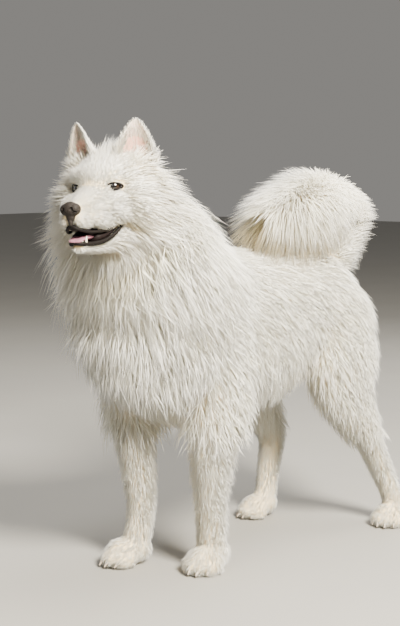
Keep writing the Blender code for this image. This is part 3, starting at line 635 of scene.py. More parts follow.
def united(made: Object, other: Object, operation: str) -> Object:
    """One object joined to, or cut by, another, which is used up.

    Args:
        made: The object that is kept.
        other: The object that is used up.
        operation: "UNION" or "DIFFERENCE".

    Returns:
        The new object.
    """
    modifier = made.modifiers.new("Shape", "BOOLEAN")
    modifier.operation = operation
    modifier.solver = "MANIFOLD"
    modifier.object = other
    made = baked(made, made.name)
    bpy.data.objects.remove(other)
    return made


def points_of(mesh: Mesh) -> Array:
    """A mesh's vertices as rows."""
    rows = np.empty(len(mesh.vertices) * 3, np.float32)
    mesh.vertices.foreach_get("co", rows)
    return rows.reshape(-1, 3).astype(float)


def normals_of(mesh: Mesh) -> Array:
    """A mesh's vertex normals as rows."""
    rows = np.empty(len(mesh.vertices) * 3, np.float32)
    mesh.vertices.foreach_get("normal", rows)
    return rows.reshape(-1, 3).astype(float)


def move_points(mesh: Mesh, rows: Array) -> None:
    """Put a mesh's vertices at new places."""
    mesh.vertices.foreach_set("co", rows.astype(np.float32).ravel())
    mesh.update()


def unit(rows: Array) -> Array:
    """Rows scaled to length 1."""
    return rows / np.maximum(np.linalg.norm(rows, axis=-1, keepdims=True), 1e-9)


def mark(mesh: Mesh, along: Array | float, tone: Array | float, tint: Array | float) -> None:
    """Write the three marks that the finishes read, each a number for every vertex.

    Args:
        mesh: The mesh.
        along: Share along a hair or claw.
        tone: A random tone, or an eye's angle from its aim.
        tint: How strongly it is tinted.
    """
    rows = np.ones((len(mesh.vertices), 4), np.float32)
    rows[:, 0] = along
    rows[:, 1] = tone
    rows[:, 2] = tint
    layer = mesh.color_attributes.new(name="marks", type="FLOAT_COLOR", domain="POINT")
    layer.data.foreach_set("color", rows.ravel())


def in_head(places: Array) -> Array:
    """Places of the dog's frame in the head's own frame."""
    turn = np.array(HEAD_BACK.to_3x3())
    return places @ turn.T + np.array(HEAD_BACK.translation)


def ramp(values: Array, start: float, over: float) -> Array:
    """From 0 at start up to 1 once past it by over."""
    return np.clip((values - start) / over, 0, 1)


def along_bone(places: Array, bone: Array) -> tuple[Array, Array, Array]:
    """The bone's nearest point to each place: its number, the way ahead and the way out to the place."""
    near = ((places[:, None, :] - bone[None, :, :]) ** 2).sum(2).argmin(1)
    return near, unit(np.gradient(bone, axis=0))[near], places - bone[near]


def biscuit_tint(places: Array) -> Array:
    """How strongly the coat is tinted: by the ears, along the muzzle, on the paws, in faint clouds.

    Args:
        places: Rows of places in the dog's frame.

    Returns:
        The tint at each place, from 0 to 1.
    """
    local = in_head(places)
    made = np.exp(-places[:, 2] / 0.05) * 0.1
    for spot, reach, strength in BISCUIT_SPOTS:
        for side in Side:
            away = local - np.array(sided(spot, side))
            made += strength * np.exp(-(away ** 2).sum(1) / (2 * reach ** 2))
    x, y, z = places.T
    clouds = np.sin(x * 31 + 1.3) * np.sin(y * 23 + 0.4) * np.sin(z * 27 + 2.1)
    return np.clip(made + 0.08 * (clouds + 0.4), 0, 1)


def straight(places: Array, way: Array, length: Array, shares: Array) -> Array:
    """Spines that run straight from their roots."""
    return places[:, None, :] + way[:, None, :] * (length[:, None] * shares)[..., None]


@dataclass
class Model:
    """The whole dog: where it stands and the finishes its pieces share."""

    shift: Vector
    finishes: dict[str, Material] = field(default_factory=dict)

    def add(self, made: Object, finish: str, slot: str, nodes: Sequence[str] = ()) -> None:
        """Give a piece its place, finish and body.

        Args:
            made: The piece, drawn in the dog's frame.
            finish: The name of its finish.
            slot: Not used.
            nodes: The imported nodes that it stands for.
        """
        mesh = made.data
        mesh.transform(Matrix.Translation(self.shift))
        mesh.materials.clear()
        mesh.materials.append(self.finishes[finish])
        mesh.shade_smooth()
        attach(made, BODY)
        if nodes:
            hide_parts(*nodes)
        mesh.calc_loop_triangles()
        LOG.info("%s: %d triangles", made.name, len(mesh.loop_triangles))

    def put(self, name: str, mesh: Mesh, finish: str, slot: str,
            nodes: Sequence[str] = ()) -> None:
        """Make a piece of a mesh and add it."""
        self.add(add_object(name, mesh), finish, slot, nodes)


# Flesh

@dataclass
class Flesh:
    """The one skin from nose to tail, at the depth where the coat is rooted."""

    undercoat: float = 0.011          # dense coat that the skin includes
    ruff: float = 0.022               # the same round the neck
    legs: tuple = (-0.003, -0.002)    # how far the fore and the hind legs are drawn in
    face_depth: float = 0.0022        # of the skin under the forms of the head, at the face
    mane_depth: float = 0.0075        # and what is added to that behind the eyes
    body_grain: float = 0.0055
    head_grain: float = 0.0021
    trunk: tuple = (
        (-0.295, 0.445, 0.05, 0.072), (-0.25, 0.44, 0.082, 0.112), (-0.19, 0.437, 0.1, 0.132),
        (-0.1, 0.43, 0.107, 0.134), (0.0, 0.432, 0.105, 0.124), (0.1, 0.442, 0.098, 0.11),
        (0.17, 0.45, 0.095, 0.1), (0.225, 0.456, 0.092, 0.094), (0.262, 0.458, 0.074, 0.076))
    neck: tuple = (
        ((0.0, -0.162, 0.468), 0.09, 0.102), ((0.001, -0.224, 0.519), 0.088, 0.083),
        ((0.004, -0.282, 0.573), 0.078, 0.067), ((0.006, -0.315, 0.627), 0.056, 0.048),
        ((0.012, -0.334, 0.682), 0.036, 0.033))
    forelegs: dict = field(default_factory=lambda: {
        Side.LEFT: (
            ((0.078, -0.165, 0.4), 0.044, 0.064), ((0.082, -0.168, 0.32), 0.04, 0.05),
            ((0.08, -0.179, 0.24), 0.033, 0.038), ((0.073, -0.174, 0.165), 0.025, 0.028),
            ((0.067, -0.165, 0.105), 0.022, 0.025), ((0.062, -0.157, 0.055), 0.023, 0.027)),
        Side.RIGHT: (
            ((-0.076, -0.19, 0.4), 0.044, 0.064), ((-0.076, -0.205, 0.32), 0.04, 0.05),
            ((-0.072, -0.213, 0.24), 0.032, 0.037), ((-0.07, -0.205, 0.165), 0.025, 0.028),
            ((-0.07, -0.198, 0.105), 0.022, 0.025), ((-0.072, -0.204, 0.055), 0.023, 0.027))})
    hind_legs: dict = field(default_factory=lambda: {
        Side.LEFT: (
            ((0.07, 0.23, 0.45), 0.05, 0.096), ((0.094, 0.212, 0.36), 0.048, 0.088),
            ((0.11, 0.212, 0.285), 0.036, 0.054), ((0.12, 0.252, 0.215), 0.026, 0.033),
            ((0.124, 0.288, 0.165), 0.02, 0.023), ((0.134, 0.32, 0.105), 0.018, 0.019),
            ((0.146, 0.342, 0.05), 0.02, 0.021)),
        Side.RIGHT: (
            ((-0.07, 0.222, 0.45), 0.05, 0.096), ((-0.09, 0.19, 0.36), 0.048, 0.088),
            ((-0.098, 0.182, 0.285), 0.038, 0.058), ((-0.104, 0.228, 0.215), 0.028, 0.036),
            ((-0.103, 0.26, 0.165), 0.024, 0.028), ((-0.102, 0.25, 0.105), 0.021, 0.023),
            ((-0.1, 0.238, 0.05), 0.022, 0.024))})
    tail: tuple = (
        ((0.0, 0.25, 0.49), 0.034), ((0.0, 0.318, 0.54), 0.028), ((0.003, 0.362, 0.582), 0.025),
        ((0.008, 0.374, 0.62), 0.025), ((0.014, 0.35, 0.656), 0.027), ((0.02, 0.29, 0.663), 0.028),
        ((0.027, 0.21, 0.66), 0.027), ((0.034, 0.12, 0.648), 0.022), ((0.04, 0.06, 0.638), 0.012))
    paws: dict = field(default_factory=lambda: {
        ("fore", Side.LEFT): ((0.064, -0.169), 8.0), ("fore", Side.RIGHT): ((-0.078, -0.226), -16.0),
        ("hind", Side.LEFT): ((0.148, 0.33), 8.0), ("hind", Side.RIGHT): ((-0.103, 0.216), -12.0)})
    toes: tuple = ((-1.45, 0.018), (-0.5, 0.03), (0.5, 0.03), (1.45, 0.018))
    toe_spacing: float = 0.0165
    body_balls: tuple = (             # chest, shoulders and hips
        ((0.0, -0.29, 0.482), (0.08, 0.066, 0.066)),
        ((0.054, -0.212, 0.44), (0.052, 0.075, 0.11), (20, 0, 0)),
        ((0.068, 0.22, 0.42), (0.053, 0.09, 0.086), (-15, 0, 0)))
    skull_balls: tuple = (            # cranium, throat, brow, temple, cheek, whisker pads and ear's base
        ((0.0, 0.055, 0.008), (0.064, 0.075, 0.049)), ((0.0, 0.075, -0.05), (0.056, 0.05, 0.048)),
        ((0.022, 0.012, 0.014), (0.029, 0.026, 0.022)), ((0.047, 0.03, 0.002), (0.023, 0.027, 0.032)),
        ((0.046, 0.037, -0.03), (0.034, 0.045, 0.041)), ((0.012, -0.064, -0.0515), (0.016, 0.027, 0.018)),
        ((0.026, -0.028, -0.0475), (0.02, 0.04, 0.024)), ((0.035, 0.004, -0.036), (0.026, 0.044, 0.028)),
        ((0.046, 0.054, 0.03), (0.027, 0.026, 0.024)))
    muzzle: tuple = (
        ((0.0, -0.07, -0.041), 0.02, 0.019), ((0.0, -0.055, -0.04), 0.026, 0.024),
        ((0.0, -0.028, -0.034), 0.035, 0.031), ((0.0, 0.005, -0.027), 0.048, 0.041))
    jaw: tuple = (
        ((0.0, -0.068, -0.096), 0.014, 0.0085), ((0.0, -0.035, -0.096), 0.023, 0.0115),
        ((0.0, 0.0, -0.092), 0.033, 0.015), ((0.0, 0.035, -0.078), 0.038, 0.024))
    body_rounding: int = 4
    head_rounding: int = 44

    def paw_placed(self, kind: str, side: Side) -> Matrix:
        """Where a paw's own frame stands.

        Args:
            kind: "fore" or "hind".
            side: Which side's.

        Returns:
            The paw's frame in the dog's frame.
        """
        (x, y), turn = self.paws[kind, side]
        scale = 1.0 if kind == "fore" else 0.94
        turned = Euler((0, 0, math.radians(turn))).to_matrix().to_4x4()
        return Matrix.Translation((x, y, 0.0)) @ turned @ Matrix.Diagonal((scale, scale, scale, 1.0))

    def paw_forms(self, kind: str, side: Side) -> list[Mesh]:
        """Toes, palm and wrist of one paw, a coat's depth inside the real outline.

        Args:
            kind: "fore" or "hind".
            side: Which side's.

        Returns:
            The forms in the dog's frame.
        """
        forms = [ball((0.0, -0.004, 0.026), (0.028, 0.034, 0.0235)),
                 ball((0.0, 0.016, 0.032), (0.025, 0.028, 0.029))]
        forms += [ball((self.toe_spacing * step, -forward, 0.0155), (0.0098, 0.0215, 0.0158))
                  for step, forward in self.toes]
        for mesh in forms:
            mesh.transform(self.paw_placed(kind, side))
        return forms

    def body_forms(self) -> list[Mesh]:
        """Trunk, neck, tail and limbs."""
        forms = [tube([((0.0, y, z), wide, high) for y, z, wide, high in self.trunk], self.undercoat),
                 tube(self.neck, self.ruff), tube([(place, radius, radius) for place, radius in self.tail])]
        for legs, grow in zip((self.forelegs, self.hind_legs), self.legs):
            forms += [tube(stations, grow) for stations in legs.values()]
        return forms + balls(self.body_balls)

    def skull_forms(self) -> list[Mesh]:
        """The whole head with its lower jaw, in the head's own frame."""
        return balls(self.skull_balls) + [tube(self.muzzle), tube(self.jaw)]

    def head_depth(self, places: Array) -> Array:
        """How deep the skin lies under the coat's outline on the head."""
        local = in_head(places)
        back = ramp(local[:, 1], -0.01, 0.06)
        return self.face_depth + self.mane_depth * back

    def build(self) -> Object:
        """Fuse the whole skin.

        Returns:
            The skin, in the dog's frame, resting on the floor.
        """
        skull = self.skull_forms()
        for mesh in skull:
            mesh.transform(HEAD)
        head = fused("head_skin", skull, self.head_grain, self.head_rounding)
        places = points_of(head.data)
        move_points(head.data, places - normals_of(head.data) * self.head_depth(places)[:, None])
        paws = [form for kind, side in self.paws for form in self.paw_forms(kind, side)]
        skin = fused("skin", self.body_forms() + paws, self.body_grain, self.body_rounding)
        skin = united(skin, head, "UNION")
        floored = points_of(skin.data)
        floored[:, 2] = np.maximum(floored[:, 2], FLOOR_CLEARANCE)
        move_points(skin.data, floored)
        mark(skin.data, 0.0, 0.5, biscuit_tint(floored))
        skin.name = "skin"
        return skin


@dataclass
class Surface:
    """A mesh's triangles as arrays, for scattering roots and finding the nearest place."""

    source: Object

    def __post_init__(self) -> None:
        """Read the mesh."""
        mesh = self.source.data
        mesh.calc_loop_triangles()
        corners = np.empty(len(mesh.loop_triangles) * 3, np.int32)
        mesh.loop_triangles.foreach_get("vertices", corners)
        self.triangles = corners.reshape(-1, 3)
        self.places = points_of(mesh)
        self.normals = normals_of(mesh)
        a, b, c = (self.places[self.triangles[:, i]] for i in range(3))
        self.areas = np.linalg.norm(np.cross(b - a, c - a), axis=1) / 2
        self.middles = (a + b + c) / 3
        self.tree = BVHTree.FromPolygons(self.places.tolist(), self.triangles.tolist())

    def scatter(self, count: int, weights: Array, chance: Chance) -> tuple[Array, Array]:
        """Evenly scattered places.

        Args:
            count: How many.
            weights: How thickly each triangle is covered, from 0.
            chance: The seeded source of random numbers.

        Returns:
            The places and their normals.
        """
        reach = np.cumsum(self.areas * weights)
        steps = (np.arange(count) + chance.random(count)) / count * reach[-1]
        chosen = np.minimum(np.searchsorted(reach, steps), len(reach) - 1)
        s = np.sqrt(chance.random(count))[:, None]
        t = chance.random(count)[:, None]
        a, b, c = (self.triangles[chosen, i] for i in range(3))
        shares = (1 - s, s * (1 - t), s * t)
        places = sum(share * self.places[i] for share, i in zip(shares, (a, b, c)))
        normals = unit(sum(share * self.normals[i] for share, i in zip(shares, (a, b, c))))
        return places, normals

    def nearest(self, places: Array) -> tuple[Array, Array]:
        """The nearest place on the surface and its normal, for each place."""
        found = [self.tree.find_nearest(p)[:2] for p in places.tolist()]
        return np.array([f[0] for f in found]), np.array([f[1] for f in found])


# Coat

def zones(places: Array, tail: Array) -> Array:
    """Which stretch of the body each place belongs to.

    Args:
        places: Rows of places in the dog's frame.
        tail: Points along the tail's bone.

    Returns:
        The zone's number for each place.
    """
    x, y, z = places.T
    local = in_head(places)
    faced = (local - np.array((0.0, 0.072, -0.018))) @ np.array((0.0, -0.882, 0.471)) > -0.012
    necked = (places - np.array((0.0, -0.215, 0.525))) @ np.array((0.0, -0.661, 0.751)) > -0.045
    tailed = np.full(len(places), False)
    for bone in tail[::3]:
        tailed |= ((places - bone) ** 2).sum(1) < 0.042 ** 2
    made = np.full(len(places), Zone.TORSO.value)
    made[(y > 0.1) & (z < 0.4) & (abs(x) > 0.03)] = Zone.THIGH.value
    made[necked & (z > 0.3)] = Zone.RUFF.value
    made[faced] = Zone.FACE.value
    made[tailed & (y > 0.03) & (z > 0.52)] = Zone.TAIL.value
    made[(y < 0.05) & (z < 0.283)] = Zone.FORELEG.value
    made[(y < 0.05) & (z < 0.066)] = Zone.FOREPAW.value
    made[(y > 0.1) & (z < 0.205)] = Zone.HOCK.value
    made[(y > 0.1) & (z < 0.056)] = Zone.HINDPAW.value
    return made


@dataclass(frozen=True)
class Guides:
    """How hair lies: rows of place, lie, length and stand, mirrored to the other side.

    Stand is the height of the tip over the root's surface as a share of the length.
    """

    rows: tuple
    reach: float
    frame: Matrix = field(default_factory=lambda: Matrix.Identity(4))

    def table(self) -> Array:
        """All rows of both sides, in the dog's frame."""
        made = []
        for place, lie, length, stand in self.rows:
            for side in Side if place[0] else (Side.LEFT,):
                spot = self.frame @ sided(place, side)
                way = self.frame.to_3x3() @ sided(lie, side).normalized()
                made.append((*spot, *way, length, stand))
        return np.array(made)

    def comb(self, places: Array, normals: Array) -> tuple[Array, Array, Array]:
        """The lie along the surface, the length and the stand at places.

        Args:
            places: Rows of places.
            normals: The surface's normals there.

        Returns:
            Unit lies, lengths and stands.
        """
        table = self.table()
        away = ((places[:, None, :] - table[None, :, :3]) ** 2).sum(2)
        weights = np.exp(-away / (2 * self.reach ** 2)) + 1e-12
        blended = weights @ table[:, 3:] / weights.sum(1, keepdims=True)
        lie = blended[:, :3]
        lie = unit(lie - normals * (lie * normals).sum(1, keepdims=True))
        return lie, blended[:, 3], blended[:, 4]


BODY_GUIDES = Guides((
    ((0, -0.27, 0.745), (0, 0.8, -0.4), 0.062, 0.1),
    ((0.09, -0.33, 0.69), (0.65, 0.25, -0.6), 0.1, 0.85),
    ((0.11, -0.35, 0.62), (0.6, 0.05, -0.8), 0.105, 0.85),
    ((0.07, -0.39, 0.56), (0.3, -0.05, -1), 0.12, 0.55),
    ((0, -0.4, 0.56), (0, -0.15, -1), 0.12, 0.42),
    ((0, -0.17, 0.66), (0, 0.95, -0.55), 0.066, 0.08),
    ((0.1, -0.23, 0.6), (0.25, 0.7, -0.7), 0.092, 0.28),
    ((0.12, -0.3, 0.52), (0.3, 0.3, -0.95), 0.11, 0.46),
    ((0, -0.36, 0.46), (0, 0.1, -1), 0.105, 0.28),
    ((0.09, -0.32, 0.43), (0.2, 0.1, -1), 0.1, 0.32),
    ((0, -0.3, 0.33), (0, 0.3, -1), 0.08, 0.28),
    ((0, -0.05, 0.59), (0, 1, -0.05), 0.075, 0.14),
    ((0, 0.12, 0.58), (0, 1, 0), 0.07, 0.14),
    ((0, 0.25, 0.565), (0, 1, -0.5), 0.056, 0.08),
    ((0.12, -0.1, 0.52), (0.1, 0.8, -0.6), 0.078, 0.24),
    ((0.14, -0.1, 0.4), (0.05, 0.5, -0.95), 0.08, 0.3),
    ((0.12, 0.08, 0.5), (0.05, 0.8, -0.6), 0.076, 0.24),
    ((0.12, 0.08, 0.4), (0.05, 0.5, -0.95), 0.078, 0.3),
    ((0.11, 0.2, 0.5), (0.05, 0.6, -0.85), 0.07, 0.22),
    ((0.05, -0.12, 0.3), (0, 0.3, -1), 0.07, 0.5),
    ((0.05, 0.05, 0.31), (0, 0.35, -1), 0.075, 0.52),
    ((0.05, 0.15, 0.34), (0, 0.4, -1), 0.06, 0.45),
    ((0.13, 0.18, 0.38), (0.05, 0.35, -1), 0.066, 0.26),
    ((0.14, 0.22, 0.29), (0.05, 0.45, -1), 0.05, 0.24),
    ((0, 0.33, 0.5), (0.05, 0.3, -1), 0.066, 0.09),
    ((0.06, 0.33, 0.45), (0.05, 0.35, -1), 0.072, 0.17),
    ((0.1, 0.31, 0.34), (0, 0.45, -1), 0.075, 0.34),
    ((0.12, 0.31, 0.24), (0, 0.45, -1), 0.05, 0.38),
), 0.055)

LEG_GUIDES = Guides((
    ((0.085, -0.13, 0.29), (0, 0.5, -1), 0.056, 0.52),
    ((0.08, -0.23, 0.29), (0, 0.1, -1), 0.036, 0.42),
    ((0.08, -0.15, 0.2), (0, 0.55, -1), 0.046, 0.54),
    ((0.08, -0.23, 0.2), (0, 0.1, -1), 0.027, 0.42),
    ((0.08, -0.16, 0.13), (0, 0.4, -1), 0.032, 0.5),
    ((0.08, -0.22, 0.11), (0, -0.05, -1), 0.023, 0.4),
    ((0.075, -0.205, 0.06), (0, -0.35, -1), 0.02, 0.38),
    ((0.075, -0.24, 0.03), (0, -0.95, -0.5), 0.013, 0.3),
    ((0.11, 0.3, 0.23), (0, 0.45, -1), 0.038, 0.48),
    ((0.11, 0.21, 0.23), (0, 0.2, -1), 0.026, 0.38),
    ((0.12, 0.32, 0.15), (0, 0.35, -1), 0.03, 0.48),
    ((0.12, 0.25, 0.15), (0, 0.1, -1), 0.02, 0.38),
    ((0.135, 0.29, 0.07), (0, -0.15, -1), 0.018, 0.38),
    ((0.135, 0.27, 0.03), (0, -0.95, -0.5), 0.013, 0.3),
), 0.03)

FACE_GUIDES = Guides((
    ((0, -0.072, -0.02), (0, 1, 0.25), 0.007, 0.2),
    ((0.016, -0.072, -0.032), (0.35, 1, -0.1), 0.008, 0.2),
    ((0.026, -0.055, -0.048), (0.3, 1, -0.45), 0.011, 0.22),
    ((0.014, -0.088, -0.055), (0.6, 0.5, -0.6), 0.009, 0.22),
    ((0, -0.04, -0.004), (0, 1, 0.45), 0.01, 0.2),
    ((0, -0.01, 0.02), (0, 0.7, 0.8), 0.015, 0.24),
    ((0, 0.02, 0.048), (0, 0.8, 0.6), 0.032, 0.55),
    ((0.012, 0.05, 0.058), (0.1, 0.6, 0.6), 0.05, 0.95),
    ((0.02, 0.09, 0.05), (0.25, 1, -0.2), 0.042, 0.32),
    ((0.05, 0.085, 0.035), (0.5, 0.85, -0.35), 0.05, 0.36),
    ((0.024, -0.006, 0.022), (0.3, 0.7, 0.6), 0.015, 0.24),
    ((0.03, 0.02, 0.044), (0.45, 0.8, 0.35), 0.032, 0.5),
    ((0.045, 0, 0.016), (0.6, 0.8, 0.15), 0.018, 0.28),
    ((0.032, -0.03, -0.018), (0.45, 0.95, -0.25), 0.012, 0.2),
    ((0.045, -0.008, -0.03), (0.65, 0.8, -0.35), 0.022, 0.32),
    ((0.06, 0.02, 0), (0.9, 0.4, -0.15), 0.056, 0.8),
    ((0.066, 0.026, -0.045), (0.85, 0.3, -0.45), 0.07, 0.9),
    ((0.062, 0.06, 0), (0.8, 0.35, -0.45), 0.074, 0.8),
    ((0.07, 0.06, -0.05), (0.8, 0.15, -0.6), 0.092, 0.95),
    ((0.034, -0.03, -0.06), (0.35, 0.9, -0.5), 0.016, 0.24),
    ((0.026, -0.04, -0.092), (0.25, 0.9, -0.45), 0.014, 0.2),
    ((0, -0.074, -0.098), (0, 0.8, -0.6), 0.01, 0.16),
    ((0, -0.03, -0.106), (0, 0.9, -0.45), 0.02, 0.3),
    ((0.04, 0.01, -0.095), (0.45, 0.6, -0.7), 0.044, 0.5),
    ((0, 0.04, -0.11), (0, 0.4, -1), 0.064, 0.5),
), 0.016, HEAD)


@dataclass(frozen=True)
class Cut:
    """How the tufts of one coat piece are made."""

    width: float                      # full width of a tuft at its widest
    rings: int                        # bends along a tuft, plus one
    clump: int                        # tufts that lean together
    pull: float                       # how far their tips meet
    wave: float = 0.05                # sideways bend as a share of the length
    scatter: float = 0.3              # random turn of the lie
    follow: bool = True               # whether a long tuft bends round the body
    droop: float = 0.0                # fall of the tip under its weight, as a share of the length
    lift: float = 0.0                 # depth of the roots' own dense coat


@dataclass
class Tufts:
    """Spines of tufts: centres along each, with the root's normal and marks."""

    spines: Array                     # tuft, ring, xyz; the last is the tip
    normals: Array
    tone: Array
    tint: Array
    sheet: Array                      # the root's place on the unwrapped skin

    def mesh(self, name: str, cut: Cut, chance: Chance) -> Mesh:
        """Closed three-sided tufts over the spines.

        Args:
            name: The mesh's name.
            cut: The width and number of rings.
            chance: The seeded source of random numbers.

        Returns:
            One mesh with marks and the bake's map.
        """
        count, rows = self.spines.shape[:2]
        rings = rows - 1
        ways = unit(np.diff(self.spines, axis=1))
        whole = unit(self.spines[:, -1] - self.spines[:, 0])
        flat = unit(np.cross(whole, self.normals))
        face = np.cross(flat, whole)
        turn = chance.normal(0, TUFT_TURN, count)[:, None]
        flat = flat * np.cos(turn) + face * np.sin(turn)
        profile = np.interp(np.arange(rings) / rings, *TUFT_PROFILE)
        wide = cut.width / 2 * chance.uniform(*TUFT_WIDTHS, count)[:, None] * profile[None, :]
        side = unit(flat[:, None, :] - ways * (flat[:, None, :] * ways).sum(2, keepdims=True))
        over = np.cross(ways, side)
        centres = self.spines[:, :-1]
        corners = np.stack([centres + side * wide[..., None], centres + over * wide[..., None] * TUFT_DEPTH,
                            centres - side * wide[..., None]], axis=2)
        points = np.concatenate([corners.reshape(count, rings * 3, 3), self.spines[:, -1:]], axis=1)
        points[..., 2] = np.maximum(points[..., 2], FLOOR_CLEARANCE)
        each = rings * 3 + 1
        faces = [(2, 1, 0)]
        for k in range(rings - 1):
            for j in range(3):
                a, b = 3 * k + j, 3 * k + (j + 1) % 3
                faces += [(a, b, b + 3), (a, b + 3, a + 3)]
        faces += [(3 * rings - 3 + j, 3 * rings - 3 + (j + 1) % 3, each - 1) for j in range(3)]
        pattern = np.array(faces, np.int32)
        indices = (np.arange(count, dtype=np.int32)[:, None, None] * each + pattern).reshape(-1, 3)
        made = bpy.data.meshes.new(name)
        made.vertices.add(count * each)
        made.vertices.foreach_set("co", points.astype(np.float32).ravel())
        made.loops.add(indices.size)
        made.loops.foreach_set("vertex_index", indices.ravel())
        made.polygons.add(len(indices))
        made.polygons.foreach_set("loop_start", np.arange(0, indices.size, 3, dtype=np.int32))
        made.update(calc_edges=True)
        shares = np.append(np.repeat(np.arange(rings) / rings, 3), 1.0)
        mark(made, np.tile(shares, count), np.repeat(self.tone, each), np.repeat(self.tint, each))
        patch = np.stack([np.append(np.tile((0.0, 0.5, 1.0), rings), 0.5), shares], axis=1) - 0.5
        uv = self.sheet[:, None, :] + patch[None] * PATCH
        layer = made.uv_layers.new(name="OFBake")
        layer.data.foreach_set("uv", uv.reshape(-1, 2)[indices.ravel()].astype(np.float32).ravel())
        away = np.stack([side, over, -side], axis=2).reshape(count, rings * 3, 3)
        soft = self.normals[:, None, :] * SOFTNESS + away * (1 - SOFTNESS)
        soft = unit(np.concatenate([soft, self.normals[:, None, :]], axis=1)).reshape(-1, 3)
        made.normals_split_custom_set_from_vertices(soft.tolist())
        return made


def unwrapped(places: Array, line: Array) -> Array:
    """Places unrolled round a bone.

    Args:
        places: Rows of places.
        line: Points along the bone.

    Returns:
        Rows of two shares from 0 to 1, round the bone and along it.
    """
    near, ahead, out = along_bone(places, line)
    along = near + np.clip((out * ahead).sum(1) / 0.01, -0.5, 0.5)
    across = unit(np.cross(ahead, np.array((0.31, 0.11, 0.94))))
    other = np.cross(ahead, across)
    turn = np.arctan2((out * across).sum(1), (out * other).sum(1)) / (2 * math.pi) + 0.5
    return np.stack([turn, (along + 0.5) / len(line)], axis=1) * 0.98 + 0.01


@dataclass(frozen=True)
class TailHair:
    """How the tail's hair fans from its bone, by the share of the way along it."""

    length: float = 0.105
    curl: tuple = (0.3, 0.12)         # where it begins to fan, and over what share
    end: tuple = (0.78, 0.22)         # where it closes again towards the tip
    spread: tuple = (0.42, 0.38, -0.45)   # outwards: at the root, added by the curl and by the end
    lean: tuple = (0.8, -0.15, 0.35)  # the same towards the tip
    hang: float = 0.3                 # fall of the hair behind the root
    jitter: float = 0.1
    steepest: tuple = (0.28, 0.4)     # of the hair, and what the crest adds to it
    crest: tuple = (0.68, 0.11)       # where the crest is and how far it reaches
    rear: tuple = (0.24, 0.1)         # y where the hair behind shortens, and over what distance
    fullness: tuple = (0.44, 0.56, -0.06, -0.52)   # at the root, by the curl, above it and at the rear
    droop: float = 0.28

    def spines(self, bone: Array, places: Array, cut: Cut, chance: Chance) -> Array:
        """Spines that fan from the tail's bone, lean to its tip and fall at their ends.

        Args:
            bone: Points along the bone.
            places: The roots.
            cut: How the tufts are made.
            chance: The seeded source of random numbers.

        Returns:
            The spines, by tuft and ring.
        """
        near, ahead, out = along_bone(places, bone)
        out = unit(out - ahead * (out * ahead).sum(1, keepdims=True))
        share = near / (len(bone) - 1)
        curl = ramp(share, *self.curl)
        end = ramp(share, *self.end)
        spread, lean = ((k[0] + k[1] * curl + k[2] * end)[:, None] for k in (self.spread, self.lean))
        way = out * spread + ahead * lean
        way[:, 2] -= self.hang * (1 - curl) * np.clip(out[:, 1], 0, 1)
        way = unit(way + chance.normal(0, self.jitter, way.shape))
        top = self.steepest[0] + self.steepest[1] * np.exp(-((share - self.crest[0]) / self.crest[1]) ** 2)
        way[:, 2] = np.where((curl > 0.5) & (way[:, 2] > top), top, way[:, 2])
        base, curled, upward, rear = self.fullness
        fullness = base + curl * (curled + upward * np.clip(out[:, 2], -1, 1)
                                  + rear * ramp(places[:, 1], *self.rear))
        length = self.length * fullness * (0.55 + 0.5 * chance.random(len(places)) ** 0.6)
        shares = np.linspace(0, 1, cut.rings + 1)
        spines = straight(places, way, length, shares)
        spines[..., 2] -= self.droop * length[:, None] * shares ** 2
        wave = chance.normal(0, cut.wave, len(places))[:, None] * np.sin(3.2 * shares)[None, :]
        spines += np.cross(way, ahead)[:, None, :] * (wave * length[:, None])[..., None]
        spines[:, 0] -= out * ROOT_DEPTH
        return spines


@dataclass(frozen=True)
class Plot:
    """One zone's coat: its name, how many tufts grow there and how."""

    name: str
    zone: Zone
    count: int
    cut: Cut
    guides: Guides
    halves: bool = True               # whether the two sides are pieces of their own


LEG_CUT = Cut(0.0013, 2, 10, 0.35, wave=0.06, scatter=0.25)
PAW_CUT = Cut(0.0012, 2, 7, 0.3, wave=0.03, follow=False)
EAR_CUT = Cut(0.001, 2, 5, 0.2)
LID_CUT = Cut(0.0007, 2, 5, 0.2)
PLOTS = (
    Plot("coat_face", Zone.FACE, 28000,
         Cut(0.0011, 2, 8, 0.28, wave=0.04, scatter=0.17, follow=False), FACE_GUIDES),
    Plot("coat_ruff", Zone.RUFF, 19000,
         Cut(0.0014, 3, 14, 0.26, wave=0.07, scatter=0.26, lift=0.01, droop=0.05), BODY_GUIDES),
    Plot("coat_torso", Zone.TORSO, 19000,
         Cut(0.0014, 3, 12, 0.24, wave=0.07, scatter=0.24, lift=0.006, droop=0.02), BODY_GUIDES),
    Plot("coat_tail", Zone.TAIL, 11000, Cut(0.0014, 3, 12, 0.28, wave=0.06), BODY_GUIDES, halves=False),
    Plot("coat_thigh", Zone.THIGH, 7000, Cut(0.0014, 3, 12, 0.28, lift=0.006, droop=0.02), BODY_GUIDES),
    Plot("coat_foreleg", Zone.FORELEG, 8500, LEG_CUT, LEG_GUIDES),
    Plot("coat_hock", Zone.HOCK, 5000, LEG_CUT, LEG_GUIDES),
    Plot("coat_forepaw", Zone.FOREPAW, 5000, PAW_CUT, LEG_GUIDES),
    Plot("coat_hindpaw", Zone.HINDPAW, 4000, PAW_CUT, LEG_GUIDES))


